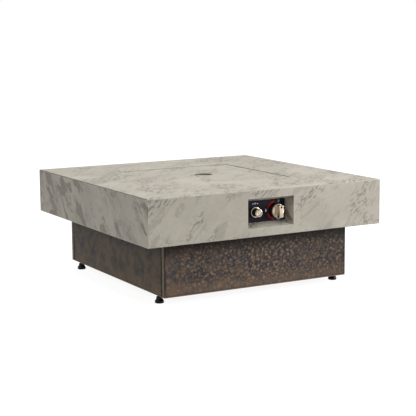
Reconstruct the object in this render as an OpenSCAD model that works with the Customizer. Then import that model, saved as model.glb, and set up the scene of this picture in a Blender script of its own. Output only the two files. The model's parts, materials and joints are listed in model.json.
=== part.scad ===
// Square gas fire pit table: a cast concrete top with a lift-off lid over a drop-in gas burner,
// carried on a folded-steel base with levelling feet. Sizes are in millimetres.
// The origin is on the floor under the middle of the table, +Z is up and the controls face -Y.

/* [Table top] */
// Side of the square top
top_side = 914; // [880:1:980]
// Height of the top's edge
top_h = 158; // [150:1:180]
// Height of the table from the floor to the top face
table_h = 372; // [360:1:440]
// Thickness of the deck
deck_t = 30; // [28:0.5:34]
// Thickness of the apron walls
apron_t = 22; // [16:1:28]
// Bevel on the cast edges
arris = 2.5; // [1:0.5:4]

/* [Lid] */
// Side of the square lid
lid_side = 448; // [440:1:460]
// Thickness of the lid
lid_t = 16; // [12:0.5:18]
// Gap between the lid and the sides of its opening
lid_gap = 2.5; // [1.5:0.5:5]
// How far the lid's face lies below the deck
lid_sink = 1.5; // [1:0.5:5]
// Thickness of the silicone pads under the lid
lid_pad_t = 1.5; // [1:0.25:3]
// Diameter of the lid's pads
lid_pad_d = 16; // [10:1:18]
// Diameter of the finger dish in the middle of the lid
dish_d = 70; // [50:1:80]
// Depth of the finger dish
dish_depth = 6; // [5:0.5:8]
// How far the dish is undercut behind its rim
dish_undercut = 4; // [2:0.5:6]

/* [Fire pan] */
// Side of the square pan
pan_side = 404; // [390:1:410]
// Depth of the pan below its flange
pan_depth = 70; // [64:1:76]
// Sheet thickness of the pan
pan_sheet = 1.5; // [1:0.25:2]
// Gap between the pan and the hole in the deck
pan_gap = 4; // [2:0.5:6]
// Diameter of the pan's drain holes
drain_d = 8; // [5:0.5:12]

/* [Burner] */
// Diameter of the burner ring at the middle of its tube
ring_d = 300; // [260:1:310]
// Diameter of the ring's tube
ring_tube_d = 19; // [18:0.5:22]
// Diameter of the crossbar that feeds the ring
bar_d = 16; // [12:0.5:17]
// Wall of the burner tubes
burner_wall = 1.2; // [0.8:0.1:1.8]
// Height of the ring's middle above the pan's floor
ring_lift = 24; // [20:0.5:27]
// Number of flame ports
port_count = 48; // [24:1:72]
// Diameter of a flame port
port_d = 2.4; // [1.6:0.1:3.2]
// Diameter of the threaded nipple through the pan
nipple_d = 21; // [18:0.5:24]
// Spacing of the lava rocks
rock_pitch = 37; // [34:1:50]
// Greatest height of a lava rock
rock_h = 37; // [30:1:39]

/* [Control pocket] */
// Width of the pocket at the apron's face
pocket_w = 180; // [172:1:200]
// Height of the pocket at the apron's face
pocket_h = 100; // [96:1:108]
// Depth of the pocket
pocket_depth = 40; // [36:1:44]
// Sideways place of the pocket from the middle of the front
pocket_x = 3.5; // [-20:0.5:20]
// How far the pocket's floor and ceiling lean in from mouth to back
pocket_draft = 13; // [8:0.5:15]
// How far the pocket's side walls lean in from mouth to back
pocket_side_draft = 10; // [8:0.5:15]
// Concrete left around the pocket
pocket_rim = 10; // [6:1:16]
// Thickness of the control plate
plate_t = 2; // [1.5:0.25:3]
// Distance of the igniter's axis from the left side of the pocket's mouth
igniter_inset = 52; // [50:0.5:56]
// Distance of the knob's axis from the right side of the pocket's mouth
knob_inset = 47.5; // [46:0.5:54]
// How far the igniter's axis and the knob's lie below the middle of the pocket
control_drop = 2.5; // [0:0.5:3]

/* [Gas knob and valve] */
// Diameter of the black knob skirt
knob_d = 50; // [46:0.5:52]
// Diameter of the metal knob cap
knob_cap_d = 47; // [44:0.5:48]
// Length of the grip bar across the cap
grip_l = 43; // [34:0.5:44]
// Width of the grip bar
grip_w = 18; // [12:0.5:20]
// How far the grip stands up from the cap
grip_h = 19; // [10:0.5:19]
// Diameter of the bezel behind the knob
bezel_d = 55; // [52:0.5:60]
// Thickness of the bezel
bezel_t = 2.5; // [2.25:0.25:3]
// How far the knob pushes in
knob_travel = 4; // [2:0.5:4]
// Diameter of the valve stem
stem_d = 8; // [6:0.5:9]
// Diameter of the valve body
valve_d = 34; // [30:0.5:38]
// Length of the valve body
valve_l = 47; // [44:1:52]

/* [Igniter] */
// Diameter of the button cap
button_d = 27.5; // [26:0.5:30]
// How far the button's face stands out from the plate
button_out = 25; // [23:0.5:28]
// How far the button pushes in
button_travel = 3; // [1.5:0.5:3]
// Diameter of the threaded barrel
barrel_d = 22; // [20:0.5:23]
// Diameter of the igniter's bezel nut
igniter_nut_d = 37; // [33:0.5:38]
// Thickness of the bezel nut
igniter_nut_t = 5; // [3:0.5:6]
// Diameter of the battery
battery_d = 14.5; // [14:0.1:15]
// Length of the battery
battery_l = 50.5; // [49:0.5:51]

/* [Base] */
// Width of the base, side to side
base_w = 723; // [700:1:760]
// Depth of the base, front to back
base_d = 764; // [740:1:790]
// Height of the base's lower edge above the floor
base_clear = 27; // [25:1:36]
// How far the base panels rise inside the apron
panel_rise = 18; // [10:1:22]
// Sheet thickness of the base panels
sheet = 2; // [1.5:0.25:3]
// Depth of the folded edges of the front and back panels
panel_return = 18; // [12:1:24]
// Width of the lips behind those edges
lip_w = 20; // [17:1:30]
// Shadow gap between the folded edges and the side panels
seam = 4; // [1:0.25:5]
// Width of the side panels' bottom flange
flange_w = 32; // [26:1:40]
// Leg of the angle-iron corner posts
post_leg = 32; // [26:1:38]
// Thickness of the corner posts
post_t = 3; // [2:0.5:5]
// Side of the square tubes under the deck
rail_side = 30; // [25:1:34]
// Wall of the square tubes
rail_wall = 2; // [1.5:0.25:3]
// Diameter of the bolts that hold the deck to the rails
deck_bolt_d = 8; // [6:0.5:10]

/* [Heat shield] */
// Side of the heat shield under the pan
shield_side = 430; // [380:1:460]
// Gap between the pan and the heat shield
shield_drop = 64; // [62:1:74]
// Thickness of the heat shield
shield_t = 1; // [0.8:0.1:2]

/* [Feet] */
// Diameter of a foot's pad
foot_d = 31; // [28:0.5:40]
// Diameter of the foot's neck
foot_neck_d = 20.5; // [16:0.5:22]
// Diameter of the threaded stud
stud_d = 8; // [6:0.5:10]
// Width across the flats of the foot's nuts
foot_nut_af = 13; // [12:0.5:16]
// Thickness of the foot's lock nut
lock_nut_t = 5.5; // [4:0.5:7]
// How far a foot screws out
foot_travel = 15; // [8:1:18]
// Distance of a foot's axis from the side of the base
foot_inset_x = 11.5; // [11:0.5:18]
// Distance of a foot's axis from the front or back of the base
foot_inset_y = 60; // [58:1:90]

/* [Gas line] */
// Diameter of the hoses inside the table
hose_d = 12; // [9:0.5:13]
// Diameter of the thin leads to the pilot
lead_d = 3; // [2:0.25:4]
// Thread diameter of the gas inlet
inlet_d = 15.875; // [12:0.125:20]
// Length of the inlet's thread outside the base
inlet_l = 15; // [10:1:25]

/* [Hidden] */
// Smoothness of round faces
$fn = 64;
// Overlap that keeps cut faces apart
eps = 0.5;
// Clearance around threads, stems and sliding pins
thread_gap = 0.05;
// Clearance of a bolt in its hole
bolt_gap = 0.25;

// Heights of the top's layers
deck_z = table_h - deck_t;
apron_z = table_h - top_h;
lid_top = table_h - lid_sink;
lid_bottom = lid_top - lid_t;
flange_top = lid_bottom - lid_pad_t;
ledge_z = flange_top - pan_sheet;
pan_bottom = ledge_z - pan_depth;
pan_floor = pan_bottom + pan_sheet;
ring_z = pan_floor + ring_lift;
pocket_z = table_h - top_h / 2;

// Plan sizes of the burner opening
opening_side = lid_side + 2 * lid_gap;
pan_hole = pan_side + 2 * pan_gap;
pan_flange = lid_side;
pan_inside = pan_side - 2 * pan_sheet;
pad_place = (pan_side + lid_side) / 4;
drain_inset = 32;
drain_place = pan_inside / 2 - drain_inset;

// Faces along the depth of the controls, and the axes of the knob and the igniter
front_y = -top_side / 2;
plate_front = front_y + pocket_depth;
plate_back = plate_front + plate_t;
knob_x = pocket_x + pocket_w / 2 - knob_inset;
igniter_x = pocket_x - pocket_w / 2 + igniter_inset;
control_z = pocket_z - control_drop;

// Control plate and its screws
plate_margin = 11;
plate_gap = 0.5;
plate_w = pocket_w - 2 * pocket_side_draft + 2 * plate_margin;
plate_h = pocket_h - 2 * pocket_draft + 2 * plate_margin;
plate_room = 30;
plate_screw_d = 4;
plate_screw_l = 8;
plate_screw_inset = 5;
plate_screw_head_d = 7;
plate_screw_head_t = 2.5;

// Knob stack, measured outwards from the plate
knob_gap = 0.5;
knob_rear = plate_front - bezel_t - knob_travel - knob_gap;
skirt_l = 9;
skirt_bevel = 1.5;
cap_disc_t = 3.5;
cap_dome = 1.5;
cap_bevel = 3;
stem_seat = 1.5;
grip_hollow = 1.4;
grip_flank_d = 45;
pointer_d = 3;
pointer_depth = 1;
pointer_inset = 5;
skirt_front = knob_rear - skirt_l;
stem_tip = skirt_front + stem_seat;
stem_hole_gap = 2;
stem_hole_d = stem_d + 2 * stem_hole_gap;

// Valve stack, measured inwards from the plate
valve_rear = plate_back + valve_l;
bonnet_t = 7;
collar_t = 2;
collar_d = 14;
collar_gap = 1;
chamber_d = 17;
chamber_l = 14;
valve_wall = 6;
plug_front = plate_back + bonnet_t + chamber_l;
plug_rear = valve_rear - valve_wall;
plug_d1 = 20;
plug_d2 = 17;
plug_gap = 0.1;
tang_t = 3;
tang_w = 7;
tang_l = 8;
tang_gap = 0.1;
tang_end_gap = 1;
collar_front = plate_back + bonnet_t + collar_gap;
spring_wire = 1;
coil_steps = 8;
spring_seat_gap = 0.2;
valve_spring_d = 13;
valve_spring_turns = 5;
magnet_d = 16;
magnet_l = 22;
port_boss_d = 15;
port_reach = 15;
port_pitch = 18;
inlet_port_in = 20;
inlet_port_y = plate_back + inlet_port_in;
outlet_port_y = inlet_port_y + port_pitch;
valve_flange_w = 50;
valve_flange_h = 28;
valve_flange_t = 4;
valve_screw_pitch = 41;
valve_screw_d = 4;
valve_screw_head_d = 7;
valve_screw_head_t = 1.8;

// Igniter stack, measured both ways from the plate
button_front = plate_front - button_out;
button_gap = 0.3;
button_cap_t = 4;
barrel_gap = 4;
barrel_front = button_front + button_cap_t + button_travel + barrel_gap;
button_lap = 3;
button_rim = 3;
button_dish = 1;
button_rear = barrel_front + button_lap;
igniter_nut_bevel = 1.2;
igniter_shoulder_d = 30;
igniter_shoulder_t = 4;
igniter_case_d = 26;
battery_gap = 0.2;
battery_in = 4;
battery_nub_d = 5.5;
battery_nub_l = 1;
igniter_bore_d = battery_d + 2 * battery_gap;
battery_front = plate_back + battery_in;
battery_rear = battery_front + battery_l;
igniter_floor = battery_rear + battery_gap;
igniter_end_t = 3;
igniter_rear = igniter_floor + igniter_end_t;
terminal_d = 6;
terminal_l = 6;
button_spring_d = 10;
button_spring_turns = 7;

// Burner fittings under the pan
hub_d = 34;
hub_cap = 5;
hub_h = ring_lift + bar_d / 2 + hub_cap;
hub_bore_d = 12;
nipple_l = 22;
nipple_nut_af = 32;
nipple_nut_t = 8;
injector_d = 28;
injector_gap = 2;
injector_drop = 42;
injector_floor = 2;
injector_top = pan_bottom - nipple_nut_t - injector_gap;
injector_z = pan_bottom - injector_drop;
injector_arm_d = 18;
injector_arm_l = 34;
injector_bore_d = 9;
injector_inlet_l = 12;
air_slot_w = 9;
air_slot_h = 8;
air_slot_drop = 3;

// Pilot assembly in the pan
pilot_x = 40;
pilot_inset = 20;
pilot_y = -(pan_inside / 2 - pilot_inset);
pilot_plate_l = 44;
pilot_plate_w = 24;
pilot_plate_t = 1.5;
pilot_gap = 14;
pilot_rod_drop = 16;
ceramic_d = 6;
pilot_slot_room = 4;
ceramic_l = 20;
electrode_d = 2;
thermo_d = 4.5;
thermo_tip = 6;
electrode_seat = 4;
hood_h = 34;
hood_reach = 17;

// Lava rocks, as shares of their pitch and height
rock_cube = [0.72, 0.84];
rock_height = [0.78, 1];
rock_middle = 0.42;
rock_width = 0.97;
rock_sides = 9;
// Steps between the seeds of a rock's turns, sizes and height
seed_step = 500;

// Heat shield
shield_top = pan_bottom - shield_drop;
spacer_d = 10;
spacer_inset = 22;
spacer_place = pan_side / 2 - spacer_inset;

// Base
panel_top = apron_z + panel_rise;
panel_h = panel_top - base_clear;
tray_inner_y = base_d / 2 - panel_return;
side_inner_x = base_w / 2 - sheet;
post_bottom = base_clear + sheet;
rail_z = deck_z - rail_side;
side_run = 2 * (tray_inner_y - seam);
top_flange_w = 18;
panel_screw_d = 5;
panel_screw_head_d = 9;
panel_screw_head_t = 3;
panel_screw_end = 2;
panel_screw_z = [panel_h / 5, panel_h * 4 / 5];
panel_screw_inset = 5;
panel_screw_x = base_w / 2 - lip_w + panel_screw_inset;
post_clear = 4;
deck_bolt_l = 18;
deck_bolt_end_gap = 1;
deck_bolt_head_t = 5.3;
deck_bolt_af = 13;

// Feet
foot_x = base_w / 2 - foot_inset_x;
foot_y = base_d / 2 - foot_inset_y;
foot_gap = 0.4;
foot_top = base_clear - lock_nut_t - foot_gap;
stud_socket = 8;
stud_spare = 6;
weld_nut_t = 6.5;
stud_top = base_clear + sheet + weld_nut_t + foot_travel + stud_spare;
foot_hem = 5;
foot_hem_bevel = 1.5;
foot_neck_l = 3.5;
foot_flank_steps = 6;

// Gas inlet
inlet_x = 60;
inlet_z = 75;
inlet_hex_af = 22;
inlet_hex_t = 6;
inlet_inside = 37;
hose_lead_in = 14;
supply_bow = 80;
feed_bow = 52;
lead_bow = 10;
inlet_bore_d = 8;
inlet_bore_in = 10;

// A point on the way from a to b: a share of the way in plan and in height, moved sideways by out
function between(a, b, share) = a + (b - a) * share;
function way(a, b, out, share, drop) =
    [between(a.x, b.x, share) + out, between(a.y, b.y, share), between(a.z, b.z, drop)];

// Ends of the hoses and leads
port_x = knob_x + valve_d / 2 + port_reach + thread_gap;
inlet_port = [port_x, inlet_port_y, control_z];
outlet_port = [port_x, outlet_port_y, control_z];
inlet_end = [inlet_x, base_d / 2 - inlet_inside - thread_gap, inlet_z];
injector_end = [0, -injector_arm_l - thread_gap, injector_z];
lead_top = pan_bottom - pilot_rod_drop - thread_gap;
sensor_end = [pilot_x + pilot_gap / 2, pilot_y, lead_top];
spark_end = [pilot_x - pilot_gap / 2, pilot_y, lead_top];
magnet_end = [knob_x, valve_rear + magnet_l + thread_gap, control_z];
terminal_end = [igniter_x, igniter_rear + terminal_l + thread_gap, control_z];

// Routes of the hoses and leads, from the piece they leave to the piece they meet
supply_route = [
    inlet_port,
    inlet_port + [hose_lead_in, 0, 0],
    way(inlet_port, inlet_end, 0.56 * supply_bow, 0.010, 0.023),
    way(inlet_port, inlet_end, 0.88 * supply_bow, 0.042, 0.087),
    way(inlet_port, inlet_end, supply_bow, 0.096, 0.206),
    way(inlet_port, inlet_end, supply_bow, 0.137, 0.404),
    way(inlet_port, inlet_end, supply_bow, 0.161, 0.656),
    way(inlet_port, inlet_end, 0.91 * supply_bow, 0.199, 0.867),
    way(inlet_port, inlet_end, 0.75 * supply_bow, 0.264, 1.010),
    way(inlet_port, inlet_end, 0.40 * supply_bow, 0.399, 1.110),
    way(inlet_port, inlet_end, 0.08 * supply_bow, 0.588, 1.130),
    way(inlet_port, inlet_end, -0.04 * supply_bow, 0.777, 1.080),
    inlet_end - [0, 3 * hose_lead_in, 0],
    inlet_end,
];
feed_route = [
    outlet_port,
    outlet_port + [hose_lead_in, 0, 0],
    way(outlet_port, injector_end, 0.70 * feed_bow, 0.044, 0.056),
    way(outlet_port, injector_end, 0.97 * feed_bow, 0.137, 0.243),
    way(outlet_port, injector_end, feed_bow, 0.294, 0.542),
    way(outlet_port, injector_end, 0.75 * feed_bow, 0.499, 0.822),
    way(outlet_port, injector_end, 0.25 * feed_bow, 0.720, 0.972),
    injector_end - [0, 2 * hose_lead_in, 0],
    injector_end,
];
thermocouple_route = [
    sensor_end,
    sensor_end - [0, 0, 2 * lead_d],
    way(sensor_end, magnet_end, 0.2 * lead_bow, 0.118, -0.82),
    way(sensor_end, magnet_end, 0.2 * lead_bow, 0.420, -0.67),
    way(sensor_end, magnet_end, -0.2 * lead_bow, 0.752, 0.16),
    magnet_end + [0, 3 * lead_d, 0],
    magnet_end,
];
ignition_route = [
    spark_end,
    spark_end - [0, 0, 2 * lead_d],
    way(spark_end, terminal_end, -0.2 * lead_bow, 0.138, -0.78),
    way(spark_end, terminal_end, -0.8 * lead_bow, 0.407, -0.56),
    way(spark_end, terminal_end, -lead_bow, 0.729, 0.24),
    terminal_end + [0, 3 * lead_d, 0],
    terminal_end,
];

// Colours as the finished table shows them
concrete = [0.72, 0.70, 0.64];
patina = [0.33, 0.28, 0.24];
stainless = [0.72, 0.72, 0.70];
chrome = [0.80, 0.77, 0.70];
black = [0.05, 0.05, 0.06];
steel = [0.40, 0.40, 0.42];
brass = [0.75, 0.60, 0.30];
lava = [0.22, 0.17, 0.15];
white = [0.92, 0.91, 0.88];
copper = [0.72, 0.43, 0.26];

// Shapes that repeat

// A box centred in plan, standing on z
module plan_box(x, y, z, h) {
    translate([-x / 2, -y / 2, z]) cube([x, y, h]);
}

// A cylinder along +Y from y1 to y2, on the axis at x and z
module rod_y(d, x, y1, y2, z) {
    translate([x, y1, z]) rotate([-90, 0, 0]) cylinder(d = d, h = y2 - y1);
}

// A hexagonal prism along +Z, by its width across the flats
module hex(af, h) {
    cylinder(d = af / cos(30), h = h, $fn = 6);
}

// A rectangle with its four corners bevelled
module bevelled_rectangle(x, y, b) {
    polygon([
        [-x / 2 + b, -y / 2], [x / 2 - b, -y / 2], [x / 2, -y / 2 + b], [x / 2, y / 2 - b],
        [x / 2 - b, y / 2], [-x / 2 + b, y / 2], [-x / 2, y / 2 - b], [-x / 2, -y / 2 + b],
    ]);
}

// A square slab with every edge bevelled
module bevelled_slab(side, z, h, b) {
    translate([0, 0, z + h / 2]) intersection() {
        linear_extrude(h, center = true) bevelled_rectangle(side, side, b);
        rotate([90, 0, 0]) linear_extrude(side, center = true) bevelled_rectangle(side, h, b);
        rotate([90, 0, 90]) linear_extrude(side, center = true) bevelled_rectangle(side, h, b);
    }
}

// A copy at each of the four corners of a rectangle
module four_corners(x, y) {
    for (sx = [-1, 1], sy = [-1, 1]) translate([sx * x, sy * y, 0]) children();
}

// Smooth tubes along a route

function unit(v) = v / norm(v);

// A point on the smooth curve through the route's points
function curve_point(p, i, t) =
    let (a = p[max(i - 1, 0)], b = p[i], c = p[i + 1], d = p[min(i + 2, len(p) - 1)])
    0.5 * (2 * b + (c - a) * t + (2 * a - 5 * b + 4 * c - d) * t * t + (3 * b - a - 3 * c + d) * t * t * t);

// Points along a route: straight at both ends, so that the end faces are square, and smooth between
function curve(p, steps) = concat(
    [p[0]],
    [for (i = [1 : len(p) - 3]) for (s = [0 : steps - 1]) curve_point(p, i, s / steps)],
    [p[len(p) - 2], p[len(p) - 1]]
);

function tangent(c, i) = unit(c[min(i + 1, len(c) - 1)] - c[max(i - 1, 0)]);

function square_to(n, t) = unit(n - (n * t) * t);

// One side direction for each point, carried along the curve without twisting
function side_directions(c, n0) = [
    for (i = 0, n = square_to(n0, tangent(c, 0));
        i < len(c);
        i = i + 1, n = square_to(n, tangent(c, min(i, len(c) - 1)))) n
];

// A closed round tube along the points of a curve
module tube_along(c, d, sides, n0) {
    n = side_directions(c, n0);
    rings = len(c);
    points = [
        for (i = [0 : rings - 1]) let (t = tangent(c, i), b = cross(t, n[i]))
            for (k = [0 : sides - 1]) let (a = 360 * k / sides)
                c[i] + d / 2 * (cos(a) * n[i] + sin(a) * b)
    ];
    walls = [
        for (i = [0 : rings - 2]) for (k = [0 : sides - 1])
            let (p = i * sides + k, q = i * sides + (k + 1) % sides)
                for (f = [[p, p + sides, q + sides], [p, q + sides, q]]) f
    ];
    start_cap = [[for (k = [0 : sides - 1]) k]];
    end_cap = [[for (k = [sides - 1 : -1 : 0]) (rings - 1) * sides + k]];
    polyhedron(points, concat(start_cap, walls, end_cap));
}

// Points along the wire of a coil spring: an even helix round +Y, from y1 to y2
function coil(d, y1, y2, turns, x, z) = [
    for (i = [0 : turns * coil_steps]) let (a = 360 * i / coil_steps, s = i / (turns * coil_steps))
        [x + d / 2 * cos(a), y1 + (y2 - y1) * s, z + d / 2 * sin(a)]
];

// The least gap of a coil's wire to itself, measured on its points
function least_gap(c, wire) = min([
    for (i = [0 : len(c) - 1 - coil_steps / 2]) for (j = [i + coil_steps / 2 : len(c) - 1])
        norm(c[i] - c[j]) - wire
]);

// Top and lid

// The drafted control pocket, as the mould's core
module pocket_core() {
    reach = pocket_depth + eps;
    shrink = pocket_draft * reach / pocket_depth;
    side_shrink = pocket_side_draft * reach / pocket_depth;
    w = pocket_w / 2;
    h = pocket_h / 2;
    translate([pocket_x, front_y, pocket_z]) intersection() {
        linear_extrude(pocket_h, center = true)
            polygon([[-w, 0], [w, 0], [w - side_shrink, reach], [-w + side_shrink, reach]]);
        rotate([90, 0, 90]) linear_extrude(pocket_w, center = true)
            polygon([[0, -h], [0, h], [reach, h - shrink], [reach, -h + shrink]]);
    }
}

module deck_bolt_places() {
    side_x = side_inner_x - rail_side / 2;
    end_y = tray_inner_y - rail_side / 2;
    four_corners(side_x, end_y * 2 / 3) children();
    four_corners(side_x / 2, end_y) children();
}

module plate_screw_places() {
    for (sx = [-1, 1], sz = [-1, 1])
        translate([
            pocket_x + sx * (plate_w / 2 - plate_screw_inset), plate_back,
            pocket_z + sz * (plate_h / 2 - plate_screw_inset),
        ]) rotate([90, 0, 0]) children();
}

module table_top() {
    inner = top_side - 2 * apron_t;
    block_w = pocket_w + 2 * pocket_rim;
    block_bottom = pocket_z - pocket_h / 2 - pocket_rim;
    color(concrete) difference() {
        union() {
            difference() {
                bevelled_slab(top_side, apron_z, top_h, arris);
                plan_box(inner, inner, apron_z - eps, top_h - deck_t + eps);
            }
            translate([pocket_x - block_w / 2, front_y + apron_t - eps, block_bottom])
                cube([block_w, pocket_depth - apron_t + eps, deck_z - block_bottom + eps]);
        }
        pocket_core();
        translate([pocket_x - plate_w / 2 - plate_gap, plate_front, pocket_z - plate_h / 2 - plate_gap])
            cube([plate_w + 2 * plate_gap, plate_room, plate_h + 2 * plate_gap]);
        plan_box(opening_side, opening_side, ledge_z, table_h - ledge_z + eps);
        plan_box(pan_hole, pan_hole, deck_z - eps, deck_t);
        translate([0, 0, deck_z - eps]) deck_bolt_places()
            cylinder(d = deck_bolt_d + 2 * bolt_gap, h = deck_bolt_l + eps);
        plate_screw_places()
            cylinder(d = plate_screw_d + 2 * thread_gap, h = plate_t + plate_screw_l);
    }
}

module burner_lid() {
    lip = dish_depth / 2;
    color(concrete) difference() {
        bevelled_slab(lid_side, lid_bottom, lid_t, arris / 2);
        translate([0, 0, lid_top - dish_depth]) cylinder(d = dish_d, h = dish_depth + eps);
        translate([0, 0, lid_top - dish_depth])
            cylinder(d = dish_d + 2 * dish_undercut, h = dish_depth - lip);
    }
}

module lid_pads() {
    color(black) four_corners(pad_place, pad_place)
        translate([0, 0, flange_top]) cylinder(d = lid_pad_d, h = lid_pad_t);
}

// Fire pan and burner

module pan_holes() {
    deep = 4 * pan_sheet;
    slot_w = ceramic_d + pilot_slot_room;
    cylinder(d = nipple_d + 2 * bolt_gap, h = deep, center = true);
    four_corners(drain_place, drain_place) cylinder(d = drain_d, h = deep, center = true);
    translate([pilot_x, pilot_y, 0]) cube([pilot_gap + slot_w, slot_w, deep], center = true);
}

module fire_pan() {
    color(stainless) difference() {
        union() {
            plan_box(pan_side, pan_side, pan_bottom, flange_top - pan_bottom);
            plan_box(pan_flange, pan_flange, ledge_z, pan_sheet);
        }
        plan_box(pan_inside, pan_inside, pan_floor, flange_top - pan_floor + eps);
        translate([0, 0, pan_bottom]) pan_holes();
    }
}

module ring_of(tube) {
    translate([0, 0, ring_z]) rotate_extrude() translate([ring_d / 2, 0]) circle(d = tube);
}

module bar_of(tube) {
    translate([-ring_d / 2, 0, ring_z]) rotate([0, 90, 0]) cylinder(d = tube, h = ring_d);
}

module burner_ring() {
    color(stainless) difference() {
        union() {
            ring_of(ring_tube_d);
            bar_of(bar_d);
            translate([0, 0, pan_floor]) cylinder(d = hub_d, h = hub_h);
            translate([0, 0, pan_bottom - nipple_l]) cylinder(d = nipple_d, h = nipple_l + pan_sheet + eps);
        }
        ring_of(ring_tube_d - 2 * burner_wall);
        bar_of(bar_d - 2 * burner_wall);
        translate([0, 0, pan_bottom - nipple_l - eps])
            cylinder(d = hub_bore_d, h = ring_z - pan_bottom + nipple_l + eps);
        for (i = [0 : port_count - 1]) rotate(360 * (i + 0.5) / port_count)
            translate([ring_d / 2, 0, ring_z]) cylinder(d = port_d, h = ring_tube_d, $fn = 16);
    }
}

module burner_nut() {
    color(stainless) translate([0, 0, pan_bottom - nipple_nut_t]) difference() {
        hex(nipple_nut_af, nipple_nut_t);
        translate([0, 0, -eps]) cylinder(d = nipple_d + 2 * thread_gap, h = nipple_nut_t + 2 * eps);
    }
}

module burner_injector() {
    bottom = injector_z - injector_arm_d / 2 - injector_floor;
    socket = pan_bottom - nipple_l;
    color(brass) difference() {
        union() {
            translate([0, 0, bottom]) cylinder(d = injector_d, h = injector_top - bottom);
            rod_y(injector_arm_d, 0, -injector_arm_l, 0, injector_z);
        }
        translate([0, 0, socket]) cylinder(d = nipple_d + 2 * thread_gap, h = nipple_l);
        translate([0, 0, injector_z]) cylinder(d = injector_bore_d, h = socket - injector_z + eps);
        rod_y(injector_bore_d, 0, -injector_arm_l + injector_inlet_l, 0, injector_z);
        translate([0, 0, socket - air_slot_h / 2 - air_slot_drop])
            cube([2 * injector_d, air_slot_w, air_slot_h], center = true);
    }
}

// A lava rock: rough cubes crossed at odd angles, cut flat where it lies
module rock(seed) {
    turn = rands(0, 90, 6, seed);
    size = rands(rock_cube[0], rock_cube[1], 2, seed + seed_step);
    height = rock_h * rands(rock_height[0], rock_height[1], 1, seed + 2 * seed_step)[0];
    intersection() {
        translate([0, 0, height * rock_middle]) intersection() {
            rotate([turn[0], turn[1], turn[2]]) cube(rock_pitch * size[0], center = true);
            rotate([turn[3], turn[4], turn[5]]) cube(rock_pitch * size[1], center = true);
        }
        rotate(turn[0]) cylinder(d = rock_pitch * rock_width, h = height, $fn = rock_sides);
    }
}

// Whether a rock at x and y is clear of the burner, the pilot and the pan's wall
function rock_fits(x, y) =
    let (r = norm([x, y]), half = rock_pitch / 2)
    max(abs(x), abs(y)) < pan_inside / 2 - half
    && abs(r - ring_d / 2) > ring_tube_d / 2 + half
    && r > hub_d / 2 + half
    && (abs(y) > bar_d / 2 + half || r > ring_d / 2)
    && (abs(x - pilot_x) > pilot_plate_l / 2 + half || abs(y - pilot_y) > pilot_plate_w / 2 + half);

// Places of the rocks, on a hexagonal grid
rock_rows = ceil(pan_inside / rock_pitch / 2 / sin(60));
rock_places = [
    for (j = [-rock_rows : rock_rows], i = [-rock_rows : rock_rows])
        let (x = (i + abs(j) % 2 / 2) * rock_pitch, y = (j + 0.5) * rock_pitch * sin(60))
            if (rock_fits(x, y)) [x, y]
];

module lava_rocks() {
    color(lava) for (i = [0 : len(rock_places) - 1])
        translate([rock_places[i][0], rock_places[i][1], pan_floor]) rock(i);
}

// Pilot, igniter rod and flame sensor in the pan

module pilot_bracket() {
    color(stainless) difference() {
        translate([pilot_x - pilot_plate_l / 2, pilot_y - pilot_plate_w / 2, pan_floor]) union() {
            cube([pilot_plate_l, pilot_plate_w, pilot_plate_t]);
            cube([pilot_plate_l, pilot_plate_t, hood_h]);
            translate([0, 0, hood_h - pilot_plate_t]) cube([pilot_plate_l, hood_reach, pilot_plate_t]);
        }
        for (s = [-1, 1]) translate([pilot_x + s * pilot_gap / 2, pilot_y, pan_floor - eps])
            cylinder(d = (s < 0 ? ceramic_d : thermo_d) + 2 * thread_gap, h = pilot_plate_t + 2 * eps);
    }
}

module spark_electrode() {
    low = pan_bottom - pilot_rod_drop;
    translate([pilot_x - pilot_gap / 2, pilot_y, low]) {
        color(white) difference() {
            cylinder(d = ceramic_d, h = pan_floor - low + ceramic_l);
            translate([0, 0, pan_floor - low + electrode_seat]) cylinder(d = electrode_d, h = ceramic_l);
        }
        color(steel) translate([0, 0, pan_floor - low + electrode_seat])
            cylinder(d = electrode_d, h = ceramic_l + electrode_seat);
    }
}

module thermocouple() {
    low = pan_bottom - pilot_rod_drop;
    color(copper) translate([pilot_x + pilot_gap / 2, pilot_y, low]) {
        cylinder(d = thermo_d, h = pan_floor - low + ceramic_l);
        translate([0, 0, pan_floor - low + ceramic_l])
            cylinder(d1 = thermo_d, d2 = thermo_d / 2, h = thermo_tip);
    }
}

module heat_shield() {
    color(stainless) plan_box(shield_side, shield_side, shield_top - shield_t, shield_t);
}

module shield_spacers() {
    color(steel) four_corners(spacer_place, spacer_place)
        translate([0, 0, shield_top]) cylinder(d = spacer_d, h = shield_drop);
}

// Control plate, valve and knob

module control_plate() {
    color(black) difference() {
        translate([pocket_x - plate_w / 2, plate_front, pocket_z - plate_h / 2])
            cube([plate_w, plate_t, plate_h]);
        rod_y(stem_hole_d, knob_x, plate_front - eps, plate_back + eps, control_z);
        rod_y(barrel_d + 2 * bolt_gap, igniter_x, plate_front - eps, plate_back + eps, control_z);
        plate_screw_places() translate([0, 0, -eps])
            cylinder(d = plate_screw_d + 2 * bolt_gap, h = plate_t + 2 * eps);
        valve_screw_places() cylinder(d = valve_screw_d + 2 * bolt_gap, h = 4 * plate_t, center = true);
    }
}

module plate_screws() {
    color(steel) plate_screw_places() {
        cylinder(d = plate_screw_d, h = plate_t + plate_screw_l - eps);
        translate([0, 0, -plate_screw_head_t]) cylinder(d = plate_screw_head_d, h = plate_screw_head_t);
    }
}

module valve_screw_places() {
    for (s = [-1, 1]) translate([knob_x + s * valve_screw_pitch / 2, plate_front, control_z])
        rotate([-90, 0, 0]) children();
}

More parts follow.
